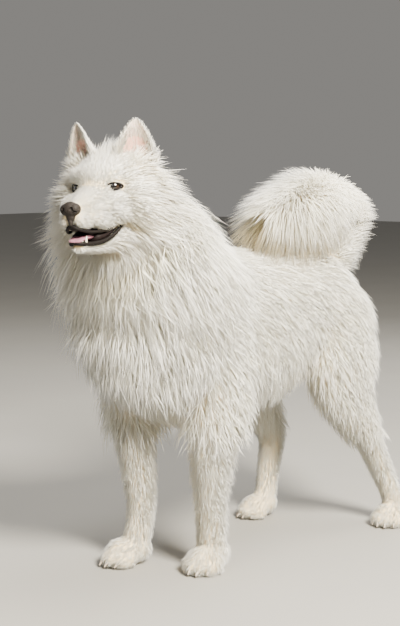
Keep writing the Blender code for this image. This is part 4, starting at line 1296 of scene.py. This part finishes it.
@dataclass
class Coat:
    """The whole coat, piece by piece."""

    surface: Surface
    flesh: Flesh
    model: Model
    share: float = 1.0
    tail_hair: TailHair = TailHair()
    bare_nose: float = 0.015          # radii without hair
    bare_eye: float = 0.0145

    def __post_init__(self) -> None:
        """Sort the skin's triangles into zones."""
        self.bone = smooth_line([place for place, _ in self.flesh.tail], 8)
        self.zone = zones(self.surface.middles, self.bone[10:])
        self.bare = self.bare_skin(self.surface.middles)

    def bare_skin(self, places: Array) -> Array:
        """Where no hair grows: eyes, nose leather and the inside of the mouth.

        Args:
            places: Rows of places in the dog's frame.

        Returns:
            Whether each place is bare.
        """
        local = in_head(places)
        x, y, z = local.T
        wide, high = (np.interp(y, UPPER_ROWS[:, 1], UPPER_ROWS[:, i]) for i in (0, 2))
        low = np.interp(y, LOWER_ROWS[:, 1], LOWER_ROWS[:, 2])
        mouth = (y < MOUTH_CORNER) & (y > -0.095) & (z < high + 0.0015) & (z > low - 0.0015)
        mouth &= abs(x) < wide + 0.006
        bare = mouth | (((local - np.array(NOSE_PLACE)) ** 2).sum(1) < self.bare_nose ** 2)
        for side in Side:
            bare |= ((local - np.array(sided(EYE_PLACE, side))) ** 2).sum(1) < self.bare_eye ** 2
        return bare

    def grown(self, places: Array, normals: Array, guides: Guides, cut: Cut,
              chance: Chance) -> Array:
        """Spines rooted at places that follow the guides.

        Args:
            places: The roots.
            normals: The skin's normals there.
            guides: The lie of the coat.
            cut: How the tufts are made.
            chance: The seeded source of random numbers.

        Returns:
            The spines, by tuft and ring.
        """
        count = len(places)
        lie, length, stand = guides.comb(places, normals)
        across = np.cross(lie, normals)
        lie = unit(lie + across * chance.normal(0, cut.scatter, count)[:, None])
        layer = chance.random(count)
        length = length * (UNDERCOAT_LENGTH + 0.55 * layer ** 0.6) * chance.uniform(0.9, 1.1, count)
        stand = stand * chance.uniform(0.75, 1.15, count)
        shares = np.linspace(0, 1, cut.rings + 1)
        rise = np.interp(shares, *HAIR_RISE)
        wave = chance.normal(0, cut.wave, (count, 2))
        spines = np.empty((count, cut.rings + 1, 3))
        for k, share in enumerate(shares):
            level = places + lie * (length * share * np.cos(stand))[:, None]
            out = normals
            if cut.follow and share > 0:
                near, bent = self.surface.nearest(level)
                level = level + (near - level) * HAIR_HUG[0 if share < 1 else 1]
                out = unit(bent * 0.6 + normals * 0.4)
            bend = wave[:, 0] * math.sin(3.0 * share) + wave[:, 1] * math.sin(5.5 * share)
            base = cut.lift * np.clip(stand / 0.4, 0.25, 1.0) * min(1.0, 2.0 * share)
            height = length * stand * rise[k] + base
            spines[:, k] = level + out * height[:, None] + across * (bend * length)[:, None]
            spines[:, k, 2] -= cut.droop * length * share ** 2
        spines[:, 0] -= normals * ROOT_DEPTH
        return spines

    def clumped(self, spines: Array, places: Array, cut: Cut, chance: Chance) -> Array:
        """Spines drawn together into clumps whose tips nearly meet.

        Args:
            spines: The spines, by tuft and ring.
            places: Their roots.
            cut: How strongly they lean together.
            chance: The seeded source of random numbers.

        Returns:
            The spines in their clumps.
        """
        count = len(places)
        leaders = chance.permutation(count)[:max(1, count // cut.clump)]
        tree = KDTree(len(leaders))
        for i, leader in enumerate(leaders):
            tree.insert(places[leader], i)
        tree.balance()
        nearest = np.array([leaders[tree.find(p)[1]] for p in places.tolist()])
        shares = np.linspace(0, 1, spines.shape[1]) ** 1.3
        reach = np.linalg.norm(spines[:, -1] - spines[:, 0], axis=1)
        fullness = np.clip(reach / max(float(np.percentile(reach, 90)), 1e-6), 0.2, 1.0)
        strength = cut.pull * chance.uniform(0.5, 1.2, count) * fullness
        pull = np.clip(strength[:, None] * shares[None, :], 0, 0.92)[..., None]
        lead = np.linalg.norm(spines[nearest, -1] - spines[nearest, 0], axis=1)
        scaled = spines[nearest, :1] + (spines[nearest] - spines[nearest, :1]) * (
            reach / np.maximum(lead, 1e-6))[:, None, None].clip(0.4, 1.3)
        return spines * (1 - pull) + scaled * pull

    def grow(self, plot: Plot, line: Array) -> None:
        """Build one zone's coat as one or two pieces.

        Args:
            plot: What grows there.
            line: The bone that the bake's map is unrolled round.
        """
        middles = self.surface.middles
        for side in Side if plot.halves else (None,):
            chance = np.random.default_rng(SEED + 10 * plot.zone.value + (side.value + 3 if side else 0))
            wanted = (self.zone == plot.zone.value) & ~self.bare
            if side:
                wanted &= middles[:, 0] * side.value >= 0
            weights = wanted.astype(float)
            if plot.zone is Zone.FACE:
                weights *= self.face_density(middles)
            number = int(plot.count * self.share / (2 if plot.halves else 1))
            places, normals = self.surface.scatter(number, weights, chance)
            if plot.zone is Zone.TAIL:
                spines = self.tail_hair.spines(self.bone, places, plot.cut, chance)
            else:
                spines = self.grown(places, normals, plot.guides, plot.cut, chance)
            spines = self.clumped(spines, places, plot.cut, chance)
            tufts = Tufts(spines, normals, chance.random(number), biscuit_tint(places),
                          unwrapped(places, line))
            name = f"{plot.name}_{side.word}" if side else plot.name
            self.model.put(name, tufts.mesh(name, plot.cut, chance), "coat", "coat")

    def build(self) -> None:
        """Grow every piece of the coat."""
        flesh = self.flesh
        snout = smooth_line([tuple(HEAD @ Vector(place)) for place in SNOUT_LINE], 8)
        neck = smooth_line([place for place, _, _ in flesh.neck], 6)
        trunk = smooth_line([(0.0, y, z) for y, z, _, _ in flesh.trunk], 5)
        fore, hind = (smooth_line([place for place, _, _ in legs[Side.LEFT]], 5)
                      for legs in (flesh.forelegs, flesh.hind_legs))
        lines = {Zone.FACE: snout, Zone.RUFF: neck, Zone.TORSO: trunk, Zone.TAIL: self.bone,
                 Zone.FORELEG: fore, Zone.FOREPAW: fore}
        for plot in PLOTS:
            self.grow(plot, lines.get(plot.zone, hind))

    def face_density(self, places: Array) -> Array:
        """Hair is set closest where it is shortest."""
        local = in_head(places)
        return 1.0 + 2.2 * np.clip((0.02 - local[:, 1]) / 0.05, 0, 1)


# Head pieces

@dataclass
class Ears:
    """Two rounded cups with furred backs and rims."""

    height: float = 0.083
    width: float = 0.066
    wall: float = 0.0034
    depth: float = 0.021              # of the cup at its base
    lean: float = 0.01                # how far the tip lies back
    slices: int = 14
    levels: tuple = (0.0, 0.08, 0.17, 0.27, 0.37, 0.47, 0.57, 0.67, 0.76, 0.84, 0.91, 0.96, 0.99)
    tufts: int = 4200
    cup_hair: float = 0.12            # how thickly hair grows in the cup
    tips: dict = field(default_factory=lambda: {
        Side.LEFT: Vector((0.053, 0.048, 0.1135)), Side.RIGHT: Vector((-0.068, 0.046, 0.103))})

    def frame(self, side: Side) -> tuple[Vector, Vector, Vector, Vector]:
        """Base, way up, way it faces and way across, in the head's frame."""
        base = sided(EAR_PLACE, side)
        up = (self.tips[side] - base).normalized()
        aim = sided((0.42, -1.0, 0.0), side)
        aim = (aim - up * aim.dot(up)).normalized()
        return base, up, aim, up.cross(aim)

    def outline(self, rise: Array | float) -> Array | float:
        """The width at a share of the height, as a share of the width at the base."""
        return (1 - rise ** 1.9) ** 0.72

    def cup(self, side: Side) -> tuple[Mesh, Array]:
        """One ear.

        Args:
            side: Which ear.

        Returns:
            The mesh in the dog's frame, and how far each vertex is inside the cup.
        """
        base, up, aim, across = self.frame(side)
        steps = [-1 + 2 * k / self.slices for k in range(self.slices + 1)]
        rings = []
        inside = []
        for v in self.levels:
            half = self.width / 2 * self.outline(v)
            hollow = self.depth * (1 - v) ** 0.7
            wall = self.wall * (1.5 - v)
            middle = base + up * self.height * v - aim * self.lean * v * v
            front = [middle + across * half * u - aim * hollow * (1 - u * u) for u in steps]
            back = [place - aim * wall * (1.15 - u * u * 0.75) for place, u in zip(front, steps)]
            rings.append(front + back[::-1])
            inside += [(1 - abs(u) ** 3) * (1 - v ** 2) for u in steps] + [0.0] * len(steps)
        mesh = mesh_of("ear", *skinned(rings))
        mesh.transform(HEAD)
        return mesh, np.array(inside + [0.0, 0.0])

    def hair(self, surface: Surface, side: Side, inside: Array, count: int,
             chance: Chance) -> Tufts:
        """Short hair up the back of an ear, a fringe at its rim and sparse hair in the cup.

        Args:
            surface: The ear.
            side: Which ear.
            inside: How far each vertex is inside the cup.
            count: How many tufts.
            chance: The seeded source of random numbers.

        Returns:
            The tufts.
        """
        cupped = inside[surface.triangles].mean(1)
        places, normals = surface.scatter(count, np.where(cupped > 0.6, self.cup_hair, 1.0), chance)
        base = self.frame(side)[0]
        up, aim, across = (np.array(HEAD.to_3x3() @ way) for way in self.frame(side)[1:])
        away = places - np.array(HEAD @ base)
        rise = np.clip(away @ up / self.height, 0, 1)
        wide = away @ across / (self.width / 2)
        fringe = np.clip(abs(wide) / np.maximum(self.outline(rise), 0.1), 0, 1) ** 6
        way = up * 0.9 + normals * 0.12 + np.outer(np.sign(wide) * fringe, across) * 0.2
        way = unit(way + chance.normal(0, 0.13, way.shape))
        front = normals @ aim > 0.2
        length = np.where(front, 0.0075, 0.0065) + 0.002 * fringe + 0.018 * (1 - rise) ** 2
        length *= chance.uniform(0.7, 1.15, count) * (1 - 0.45 * rise)
        shares = np.linspace(0, 1, EAR_CUT.rings + 1)
        spines = straight(places, way, length, shares)
        spines += normals[:, None, :] * (length[:, None] * (shares - shares ** 2) * 0.4)[..., None]
        spines[:, 0] -= normals * 0.0008
        tint = np.clip(0.42 * (1 - rise) ** 1.5 + 0.05, 0, 1) + np.where(front, 0.14, 0.0)
        sheet = np.stack([wide * 0.22 + np.where(front, 0.25, 0.75), rise * 0.96 + 0.02], axis=1)
        return Tufts(spines, normals, chance.random(count), tint, np.clip(sheet, 0.01, 0.99))

    def build(self, model: Model, share: float) -> None:
        """Build both ears with their hair.

        Args:
            model: What they are added to.
            share: The share of the tufts to grow.
        """
        for side in Side:
            mesh, inside = self.cup(side)
            mark(mesh, 0.0, 0.5, inside)
            ear = add_object(f"ear_skin_{side.word}", mesh)
            chance = np.random.default_rng(SEED + 200 + side.value)
            hair = self.hair(Surface(ear), side, inside, int(self.tufts * share), chance)
            name = f"coat_ear_{side.word}"
            model.add(ear, "ear", "ear", (f"ear_{side.word}",))
            model.put(name, hair.mesh(name, EAR_CUT, chance), "coat", "coat")


@dataclass
class Eyes:
    """Eyeballs under dark almond rims."""

    opening: tuple = (0.0245, 0.01)
    slant: float = 0.14
    drop: tuple = (-0.0012, -0.0016)  # where the opening sits on the eyeball, across and up
    cover: float = 1.04               # the lids' radius as a share of the eyeball's
    lid_edge: float = 1.22            # where the lids start, as a share of the opening
    lid_reach: float = 0.017
    rim_rings: tuple = ((0.92, -0.0003), (0.98, 0.0015), (1.2, 0.0027), (1.54, 0.0031),
                        (1.6, -0.0004), (1.05, -0.002))
    steps: int = 44
    tufts: int = 1100

    def frame(self, side: Side) -> tuple[Vector, Vector, Vector, Vector]:
        """Centre, aim, way across and way up, in the head's frame."""
        aim = sided(EYE_AIM, side).normalized()
        across = (Vector((side.value, 0, 0)) - aim * aim.x * side.value).normalized()
        up = across.cross(aim) * -side.value
        return sided(EYE_PLACE, side), aim, across, up if up.z > 0 else -up

    def globe(self, side: Side) -> Mesh:
        """An eyeball with the angle from its aim as its tone mark.

        Args:
            side: Which eye.

        Returns:
            The mesh in the dog's frame.
        """
        centre, aim, _, _ = self.frame(side)
        work = bmesh.new()
        bmesh.ops.create_uvsphere(work, u_segments=40, v_segments=40, radius=EYE_RADIUS)
        mesh = freed(work, "eye")
        rows = points_of(mesh)
        angle = np.arccos(np.clip(rows[:, 2] / EYE_RADIUS, -1, 1)) / (math.pi / 2)
        swell = 1 + 0.05 * np.clip(1 - angle / 0.55, 0, 1) ** 0.5
        move_points(mesh, rows * swell[:, None])
        mark(mesh, 0.0, np.clip(angle, 0, 1), 0.0)
        mesh.transform(HEAD @ Matrix.Translation(centre) @ aim.to_track_quat("Z", "Y").to_matrix().to_4x4())
        return mesh

    def almond(self) -> list[tuple[float, float]]:
        """Points round the opening, across and up from its middle."""
        made = []
        for k in range(self.steps):
            turn = 2 * math.pi * k / self.steps
            wide = self.opening[0] / 2 * math.cos(turn)
            tall = self.opening[1] / 2 * math.sin(turn) * abs(math.sin(turn)) ** 0.25
            tall *= 1.15 if tall > 0 else 0.85
            made.append((wide + self.drop[0], tall + wide * self.slant + self.drop[1]))
        return made

    def ringed(self, rings: list[list[Vector]]) -> Mesh:
        """A closed band made of equal profiles round the opening.

        Args:
            rings: The profiles, in the head's frame.

        Returns:
            The mesh in the dog's frame.
        """
        count = len(rings[0])
        steps = len(rings)
        faces = [(count * i + j, count * i + (j + 1) % count, count * ((i + 1) % steps) + (j + 1) % count,
                  count * ((i + 1) % steps) + j) for i in range(steps) for j in range(count)]
        mesh = mesh_of("band", [p for ring in rings for p in ring], faces)
        mesh.transform(HEAD)
        return mesh

    def lid(self, side: Side) -> Mesh:
        """Both lids: a cover over the eyeball that runs out into brow and cheek.

        Args:
            side: Which eye's.

        Returns:
            The mesh in the dog's frame.
        """
        centre, aim, across, up = self.frame(side)
        rings = []
        for wide, tall in self.almond():
            edge = (across * wide + up * tall) * self.lid_edge
            outer = edge.normalized() * self.lid_reach
            top = []
            for share in (0.0, 0.18, 0.4, 0.66, 1.0):
                flat = edge.lerp(outer, share)
                radius = EYE_RADIUS * self.cover + 0.0016 * (1 - share)
                depth = math.sqrt(max(radius ** 2 - flat.length_squared, 0.0)) - 0.004 * share
                top.append(centre + flat + aim * depth)
            under = [centre + (p - centre) * 0.9 - aim * 0.001 for p in top[::-1]]
            rings.append(top + under)
        return self.ringed(rings)

    def lid_hair(self, surface: Surface, side: Side, count: int, chance: Chance) -> Tufts:
        """The finest hair, running off the lids away from the opening.

        Args:
            surface: The lids.
            side: Which eye's.
            count: How many tufts.
            chance: The seeded source of random numbers.

        Returns:
            The tufts.
        """
        centre, aim, _, _ = self.frame(side)
        middle = np.array(HEAD @ centre)
        ahead = np.array(HEAD.to_3x3() @ aim)
        facing = ((surface.middles - middle) @ ahead > 0.0005).astype(float)
        places, normals = surface.scatter(count, facing, chance)
        away = places - middle
        way = unit(away - np.outer(away @ ahead, ahead))
        way = unit(way - normals * (way * normals).sum(1, keepdims=True) + chance.normal(0, 0.2, way.shape))
        way = unit(way + normals * 0.25)
        length = chance.uniform(0.003, 0.0052, count)
        spines = straight(places, way, length, np.linspace(0, 1, LID_CUT.rings + 1))
        spines[:, 0] -= normals * 0.0005
        sheet = np.clip(0.5 + away[:, (0, 2)] * 20, 0.01, 0.99)
        return Tufts(spines, normals, chance.random(count), np.full(count, 0.12), sheet)

    def rim(self, side: Side) -> Mesh:
        """The black edge of the lids, a closed almond ring that lies on the eyeball.

        Args:
            side: Which eye's.

        Returns:
            The mesh in the dog's frame.
        """
        centre, aim, across, up = self.frame(side)
        rings = []
        for wide, tall in self.almond():
            ring = []
            for scale, lift in self.rim_rings:
                radius = EYE_RADIUS * self.cover + lift
                away = (wide * wide + tall * tall) * scale * scale / radius ** 2
                depth = radius * (1 - 0.5 * away - 0.1 * away ** 2)
                ring.append(centre + across * wide * scale + up * tall * scale + aim * depth)
            rings.append(ring)
        return self.ringed(rings)

    def build(self, model: Model, share: float) -> None:
        """Build both eyes with their lids.

        Args:
            model: What they are added to.
            share: The share of the tufts to grow.
        """
        for side in Side:
            mesh = self.lid(side)
            mark(mesh, 0.0, 0.5, 0.1)
            lid = add_object(f"eyelid_{side.word}", mesh)
            chance = np.random.default_rng(SEED + 300 + side.value)
            hair = self.lid_hair(Surface(lid), side, int(self.tufts * share), chance)
            name = f"coat_lid_{side.word}"
            model.add(lid, "skin", "coat")
            model.put(name, hair.mesh(name, LID_CUT, chance), "coat", "coat")
            model.put(f"eyeball_{side.word}", self.globe(side), "eye", "eye", (f"eye_{side.word}",))
            model.put(f"eye_rim_{side.word}", self.rim(side), "rim", "nose_leather")


@dataclass
class Nose:
    """The nose leather with its nostrils and the groove that runs to the lip."""

    grain: float = 0.0007
    hole_grain: float = 0.0005
    forms: tuple = (                  # bulb, its foot, the strip to the lip and the wings
        ((0.0, 0.0, 0.0), (0.0145, 0.0125, 0.013)), ((0.0, 0.001, -0.01), (0.009, 0.0085, 0.0105)),
        ((0.0, 0.001, -0.019), (0.0045, 0.007, 0.0095)), ((0.009, 0.0005, 0.0), (0.0085, 0.0108, 0.0098)))
    holes: tuple = (                  # nostrils, their slits and the groove
        ((0.0074, -0.0125, 0.0008), (0.0034, 0.006, 0.0037)),
        ((0.0125, -0.0085, -0.0035), (0.005, 0.0048, 0.0014), (0, 25, 0)),
        ((0.0, -0.0135, -0.006), (0.0006, 0.0026, 0.01)))

    def build(self, model: Model) -> None:
        """Build the nose."""
        nose = fused("nose_leather", balls(self.forms, NOSE_PLACE), self.grain, 3)
        holes = fused("holes", balls(self.holes, NOSE_PLACE, 3), self.hole_grain, 1)
        nose = united(nose, holes, "DIFFERENCE")
        nose.data.transform(HEAD)
        model.add(nose, "leather", "nose_leather", ("nose",))


@dataclass
class Mouth:
    """Lips, palate, tongue, the teeth that the open mouth shows, and a near-black plug of painted shade in
    the mouth's depth.
    """

    lip_radius: float = 0.0026
    tongue: tuple = (
        ((0.0, -0.03, -0.081), 0.018, 0.004), ((0.0, -0.05, -0.0815), 0.0165, 0.004),
        ((0.0, -0.064, -0.0825), 0.015, 0.0038), ((0.0, -0.0765, -0.086), 0.0125, 0.0032))
    roof: tuple = (
        ((0, -0.076, -0.0655), 0.011, 0.003), ((0, -0.058, -0.0665), 0.019, 0.003),
        ((0, -0.032, -0.068), 0.026, 0.003))
    floor: tuple = (
        ((0, -0.067, -0.09), 0.011, 0.0028), ((0, -0.05, -0.09), 0.017, 0.0028),
        ((0, -0.03, -0.089), 0.023, 0.003))
    back: tuple = (-0.046, 0.01, 8)   # from, to and in how many slices the mouth's depth is filled with painted shade
    canine: tuple = ((0.014, -0.066, -0.0905), (0.12, -0.1, 1), 0.0135, 0.0023)
    incisors: tuple = tuple(((0.0022 + 0.004 * k, -0.0735 + 0.0008 * k * k, -0.089), (0, -0.1, 1),
                             0.005, 0.0017) for k in range(3))

    def lip(self, points: Sequence[Numbers], serrated: bool) -> Mesh:
        """A dark bead along both sides of a jaw.

        Args:
            points: The lip's line on the left side.
            serrated: Whether it is notched towards the corners, as a lower lip is.

        Returns:
            The mesh in the head's frame.
        """
        path = [(-x, y, z) for x, y, z in points[:0:-1]] + list(points)
        line = smooth_line([(*p, self.lip_radius, self.lip_radius) for p in path], 10)
        far = np.abs(np.linspace(-1, 1, len(line)))
        if serrated:
            notches = np.maximum(np.sin(np.arange(len(line)) * 1.9), 0) * np.clip(far - 0.3, 0, 1)
            line[:, 2] += notches * 0.002
            line[:, 4] *= 1 + 0.45 * np.sin(far * math.pi)
        else:
            line[:, 3:] *= (1 + 0.6 * np.exp(-(far / 0.22) ** 2))[:, None]
        return tube([(tuple(row[:3]), row[3], row[4]) for row in line], sides=8, steps=1)

    def shade_plug(self) -> Mesh:
        """Painted shade: a near-black plug flush with the lips that stands for the mouth's dark depth, in
        the head's frame.
        """
        turns = [2 * math.pi * j / 16 for j in range(16)]
        rings = []
        for y in np.linspace(*self.back):
            wide = float(np.interp(y, UPPER_ROWS[:, 1], UPPER_ROWS[:, 0])) - 0.003
            high = float(np.interp(y, UPPER_ROWS[:, 1], UPPER_ROWS[:, 2])) + 0.001
            low = float(np.interp(y, LOWER_ROWS[:, 1], LOWER_ROWS[:, 2])) - 0.003
            rings.append([Vector((wide * math.cos(a), y, (high + low) / 2 + (high - low) / 2 * math.sin(a)))
                          for a in turns])
        return mesh_of("palate", *skinned(rings))

    def tongue_mesh(self) -> Mesh:
        """A flat tongue with a groove along its middle, in the head's frame."""
        mesh = tube(self.tongue, sides=28, steps=6)
        rows = points_of(mesh)
        groove = np.exp(-(rows[:, 0] / 0.0035) ** 2) * 0.0014
        edge = np.clip(np.abs(rows[:, 0]) / 0.016, 0, 1) ** 3 * 0.0016
        rows[:, 2] += edge - groove
        move_points(mesh, rows)
        return mesh

    def tooth(self, place: Vector, way: Vector, length: float, radius: float) -> Mesh:
        """A tapered tooth that curves a little back.

        Args:
            place: Its root.
            way: The way it points.
            length: Its length.
            radius: Its radius at the root.

        Returns:
            The mesh in the head's frame.
        """
        along = way.normalized() * length
        mesh = tube(((place, radius, radius), (place + along * 0.5, radius * 0.8, radius * 0.8),
                     (place + along * 0.92 + Vector((0, length * 0.1, 0)), radius * 0.25, radius * 0.25)),
                    sides=10, steps=3)
        share = (points_of(mesh) - np.array(place)) @ np.array(along) / length ** 2
        mark(mesh, np.clip(share, 0, 1), 0.5, 0.0)
        return mesh

    def build(self, model: Model) -> None:
        """Build the mouth's pieces."""
        rows = [("upper_lip", self.lip(UPPER_LIP, False), "rim", "nose_leather"),
                ("lower_lip", self.lip(LOWER_LIP, True), "rim", "nose_leather"),
                # painted shade: a near-black plug flush with the lips fills the back of the open mouth
                ("mouth_back", self.shade_plug(), "palate", "nose_leather"),
                ("mouth_roof", tube(self.roof), "palate", "nose_leather"),
                ("mouth_floor", tube(self.floor), "palate", "nose_leather"),
                ("tongue_top", self.tongue_mesh(), "tongue", "tongue", ("tongue",))]
        for side in Side:
            for place, way, length, radius in (self.canine, *self.incisors):
                mesh = self.tooth(sided(place, side), sided(way, side), length, radius)
                rows.append((f"tooth_{len(rows) - 5}", mesh, "enamel", "coat"))
        for name, mesh, *rest in rows:
            mesh.transform(HEAD)
            model.put(name, mesh, *rest)


@dataclass
class Claws:
    """Four claws and the pads under each paw."""

    claw: tuple = (                   # from the claw's root: place and half sizes
        ((0.0, 0.0, 0.0), 0.003, 0.003), ((0.0, -0.006, -0.0016), 0.0023, 0.0024),
        ((0.0, -0.01, -0.006), 0.0008, 0.0009))
    claw_length: float = 0.01
    root: tuple = (0.016, 0.0115)     # ahead of the toe's middle and above the floor
    palm_pad: tuple = ((0.0, 0.004, 0.0045), (0.014, 0.011, 0.0043))
    toe_pad: Numbers = (0.0055, 0.008, 0.0038)

    def claw_mesh(self, root: Vector) -> Mesh:
        """One claw in its paw's frame, marked along its length."""
        mesh = tube([(root + Vector(place), wide, deep) for place, wide, deep in self.claw], sides=10,
                    steps=3)
        mark(mesh, np.clip((root.y - points_of(mesh)[:, 1]) / self.claw_length, 0, 1), 0.5, 0.0)
        return mesh

    def build(self, model: Model, flesh: Flesh) -> None:
        """Build the claws and pads of every paw.

        Args:
            model: What they are added to.
            flesh: Where the paws stand and how their toes are spaced.
        """
        for kind, side in flesh.paws:
            placed = flesh.paw_placed(kind, side)
            pads = [ball(*self.palm_pad)]
            for i, (step, forward) in enumerate(flesh.toes):
                across = flesh.toe_spacing * step
                mesh = self.claw_mesh(Vector((across, -forward - self.root[0], self.root[1])))
                mesh.transform(placed)
                model.put(f"claw_{kind}_{side.word}_{i + 1}", mesh, "horn", "nose_leather")
                pads.append(ball((across, -forward + 0.002, 0.004), self.toe_pad))
            pad = fused(f"pads_{kind}_{side.word}", pads, 0.0026, 1)
            pad.data.transform(placed)
            rows = points_of(pad.data)
            rows[:, 2] = np.maximum(rows[:, 2], FLOOR_CLEARANCE / 2)
            move_points(pad.data, rows)
            model.add(pad, "rim", "nose_leather")


# Studio

@dataclass
class Studio:
    """A pale floor, soft lights and the camera."""

    camera_place: Numbers = (1.621, -2.156, 0.73)
    azimuth: float = 38.4
    pitch: float = 5.91
    lens: float = 82.24
    light_aim: Numbers = (0.0, 0.0, 0.4)
    lights: tuple = (                 # name, place, size, power and colour
        ("key", (2.5, -1.2, 2.5), 1.0, 760.0, (1.0, 0.92, 0.78)),
        ("top", (0.5, 0.4, 3.2), 2.0, 120.0, (1.0, 0.95, 0.86)),
        ("front", (0.6, -3.4, 2.2), 2.0, 30.0, (1.0, 0.96, 0.9)),
        ("fill", (-2.6, -1.0, 1.5), 2.6, 14.0, (1.0, 0.98, 0.95)),
        ("rim", (-1.0, 2.8, 2.2), 1.6, 50.0, (1.0, 0.96, 0.9)))
    surround: tuple = ((0.88, 0.85, 0.8, 1.0), 0.28)
    floor_half: float = 14.0
    floor_tones: tuple = ((0.27, 0.265, 0.25), (0.3, 0.295, 0.28))

    def stood(self, data: bpy.types.ID, place: Vector, ahead: Vector) -> Object:
        """A camera or lamp at a place, looking ahead."""
        made = add_object(data.name, data)
        made.location = place
        made.rotation_euler = ahead.to_track_quat("-Z", "Y").to_euler()
        return made

    def camera(self, shift: Vector) -> None:
        """Stand the camera where the photograph was taken from."""
        lens = bpy.data.cameras.new("camera")
        lens.lens = self.lens
        turn = math.radians(self.azimuth)
        dip = math.radians(self.pitch)
        ahead = Vector((-math.sin(turn) * math.cos(dip), math.cos(turn) * math.cos(dip), -math.sin(dip)))
        bpy.context.scene.camera = self.stood(lens, Vector(self.camera_place) + shift, ahead)

    def floor(self) -> None:
        """Lay a wide pale floor."""
        side = self.floor_half
        corners = [(-side, -side, 0), (side, -side, 0), (side, side, 0), (-side, side, 0)]
        mesh = bpy.data.meshes.new("floor")
        mesh.from_pydata(corners, [], [(0, 1, 2, 3)])
        made = add_object("floor", mesh)
        sheet = Sheet("floor")
        colour = sheet.mix(sheet.noise(3.0), *self.floor_tones)
        mesh.materials.append(sheet.finish(Base_Color=colour, Roughness=0.85))

    def light(self) -> None:
        """Set soft area lights and a pale surround."""
        for name, place, size, power, colour in self.lights:
            lamp = bpy.data.lights.new(name, "AREA")
            lamp.shape = "DISK"
            lamp.size = size
            lamp.energy = power
            lamp.color = colour
            self.stood(lamp, Vector(place), Vector(self.light_aim) - Vector(place))
        world = bpy.data.worlds.new("studio")
        world.use_nodes = True
        shade = world.node_tree.nodes["Background"]
        shade.inputs["Color"].default_value = self.surround[0]
        shade.inputs["Strength"].default_value = self.surround[1]
        bpy.context.scene.world = world

    def build(self, shift: Vector) -> None:
        """Set the studio up."""
        self.camera(shift)
        self.floor()
        self.light()


FINISHES = {
    "coat": CoatFinish(),
    "skin": GrainFinish("skin", (0.9, 0.73, 0.43), (0.675, 0.5475, 0.3225), 0.15, 0.8, 900.0, 0.0006,
                        second=(0.76, 0.6, 0.42), mark=Mark.TINT),
    "ear": GrainFinish("ear_skin", (0.86, 0.77, 0.66), (0.434, 0.231, 0.175), 0.35, 0.6, 160.0, 0.0008,
                       second=(0.62, 0.33, 0.25), mark=Mark.TINT, gain=1.7, detail=4.0,
                       stretch=(1.0, 1.0, 0.35)),
    "leather": LeatherFinish(),
    "eye": EyeFinish(),
    "rim": GrainFinish("black_rim", (0.005, 0.004, 0.0038), (0.0085, 0.0068, 0.00646), 0.6, 0.58, 500.0,
                       0.0004, uneven=0.16, gloss=0.1),
    # near black: partly the mouth's own dark pigment, partly painted shade of the open mouth's depth
    "palate": GrainFinish("palate", (0.006, 0.0036, 0.0036), (0.0102, 0.00612, 0.00612), 0.6, 0.6, 500.0,
                          0.0004, uneven=0.16, gloss=0.1),
    "tongue": GrainFinish("tongue", (0.26, 0.11, 0.15), (0.442, 0.187, 0.255), 0.6, 0.38, 900.0, 0.0005,
                          uneven=0.16),
    "enamel": GrainFinish("enamel", (0.62, 0.52, 0.38), (0.465, 0.39, 0.285), 0.3, 0.22, 700.0, 0.0002,
                          second=(0.8, 0.76, 0.68), detail=2.0),
    "horn": GrainFinish("horn", (0.34, 0.26, 0.19), (0.255, 0.195, 0.1425), 0.3, 0.35, 700.0, 0.0002,
                        second=(0.52, 0.45, 0.36), detail=2.0),
}
FLESH_NODES = ("head", "lower_jaw", "neck", "torso", "tail_root", "tail_plume", "foreleg_left",
               "foreleg_right", "forepaw_left", "forepaw_right", "thigh_left", "thigh_right",
               "hock_left", "hock_right", "hindpaw_left", "hindpaw_right")


def model_shift() -> Vector:
    """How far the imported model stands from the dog's own frame, by its left eye."""
    low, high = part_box("eye_left")
    return (low + high) / 2 + FACE_NUDGE - HEAD @ EYE_PLACE


def main() -> None:
    """Build every piece in order."""
    logging.basicConfig(level=logging.INFO, format="%(message)s")
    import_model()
    share = 1.0
    model = Model(model_shift(), {name: finish.build() for name, finish in FINISHES.items()})
    LOG.info("model stands %.4f, %.4f, %.4f off", *model.shift)
    flesh = Flesh()
    skin = flesh.build()
    Coat(Surface(skin), flesh, model, share).build()
    model.add(skin, "skin", "coat", FLESH_NODES)
    Ears().build(model, share)
    Eyes().build(model, share)
    Nose().build(model)
    Mouth().build(model)
    Claws().build(model, flesh)
    Studio().build(model.shift)


if __name__ == "__main__":
    main()
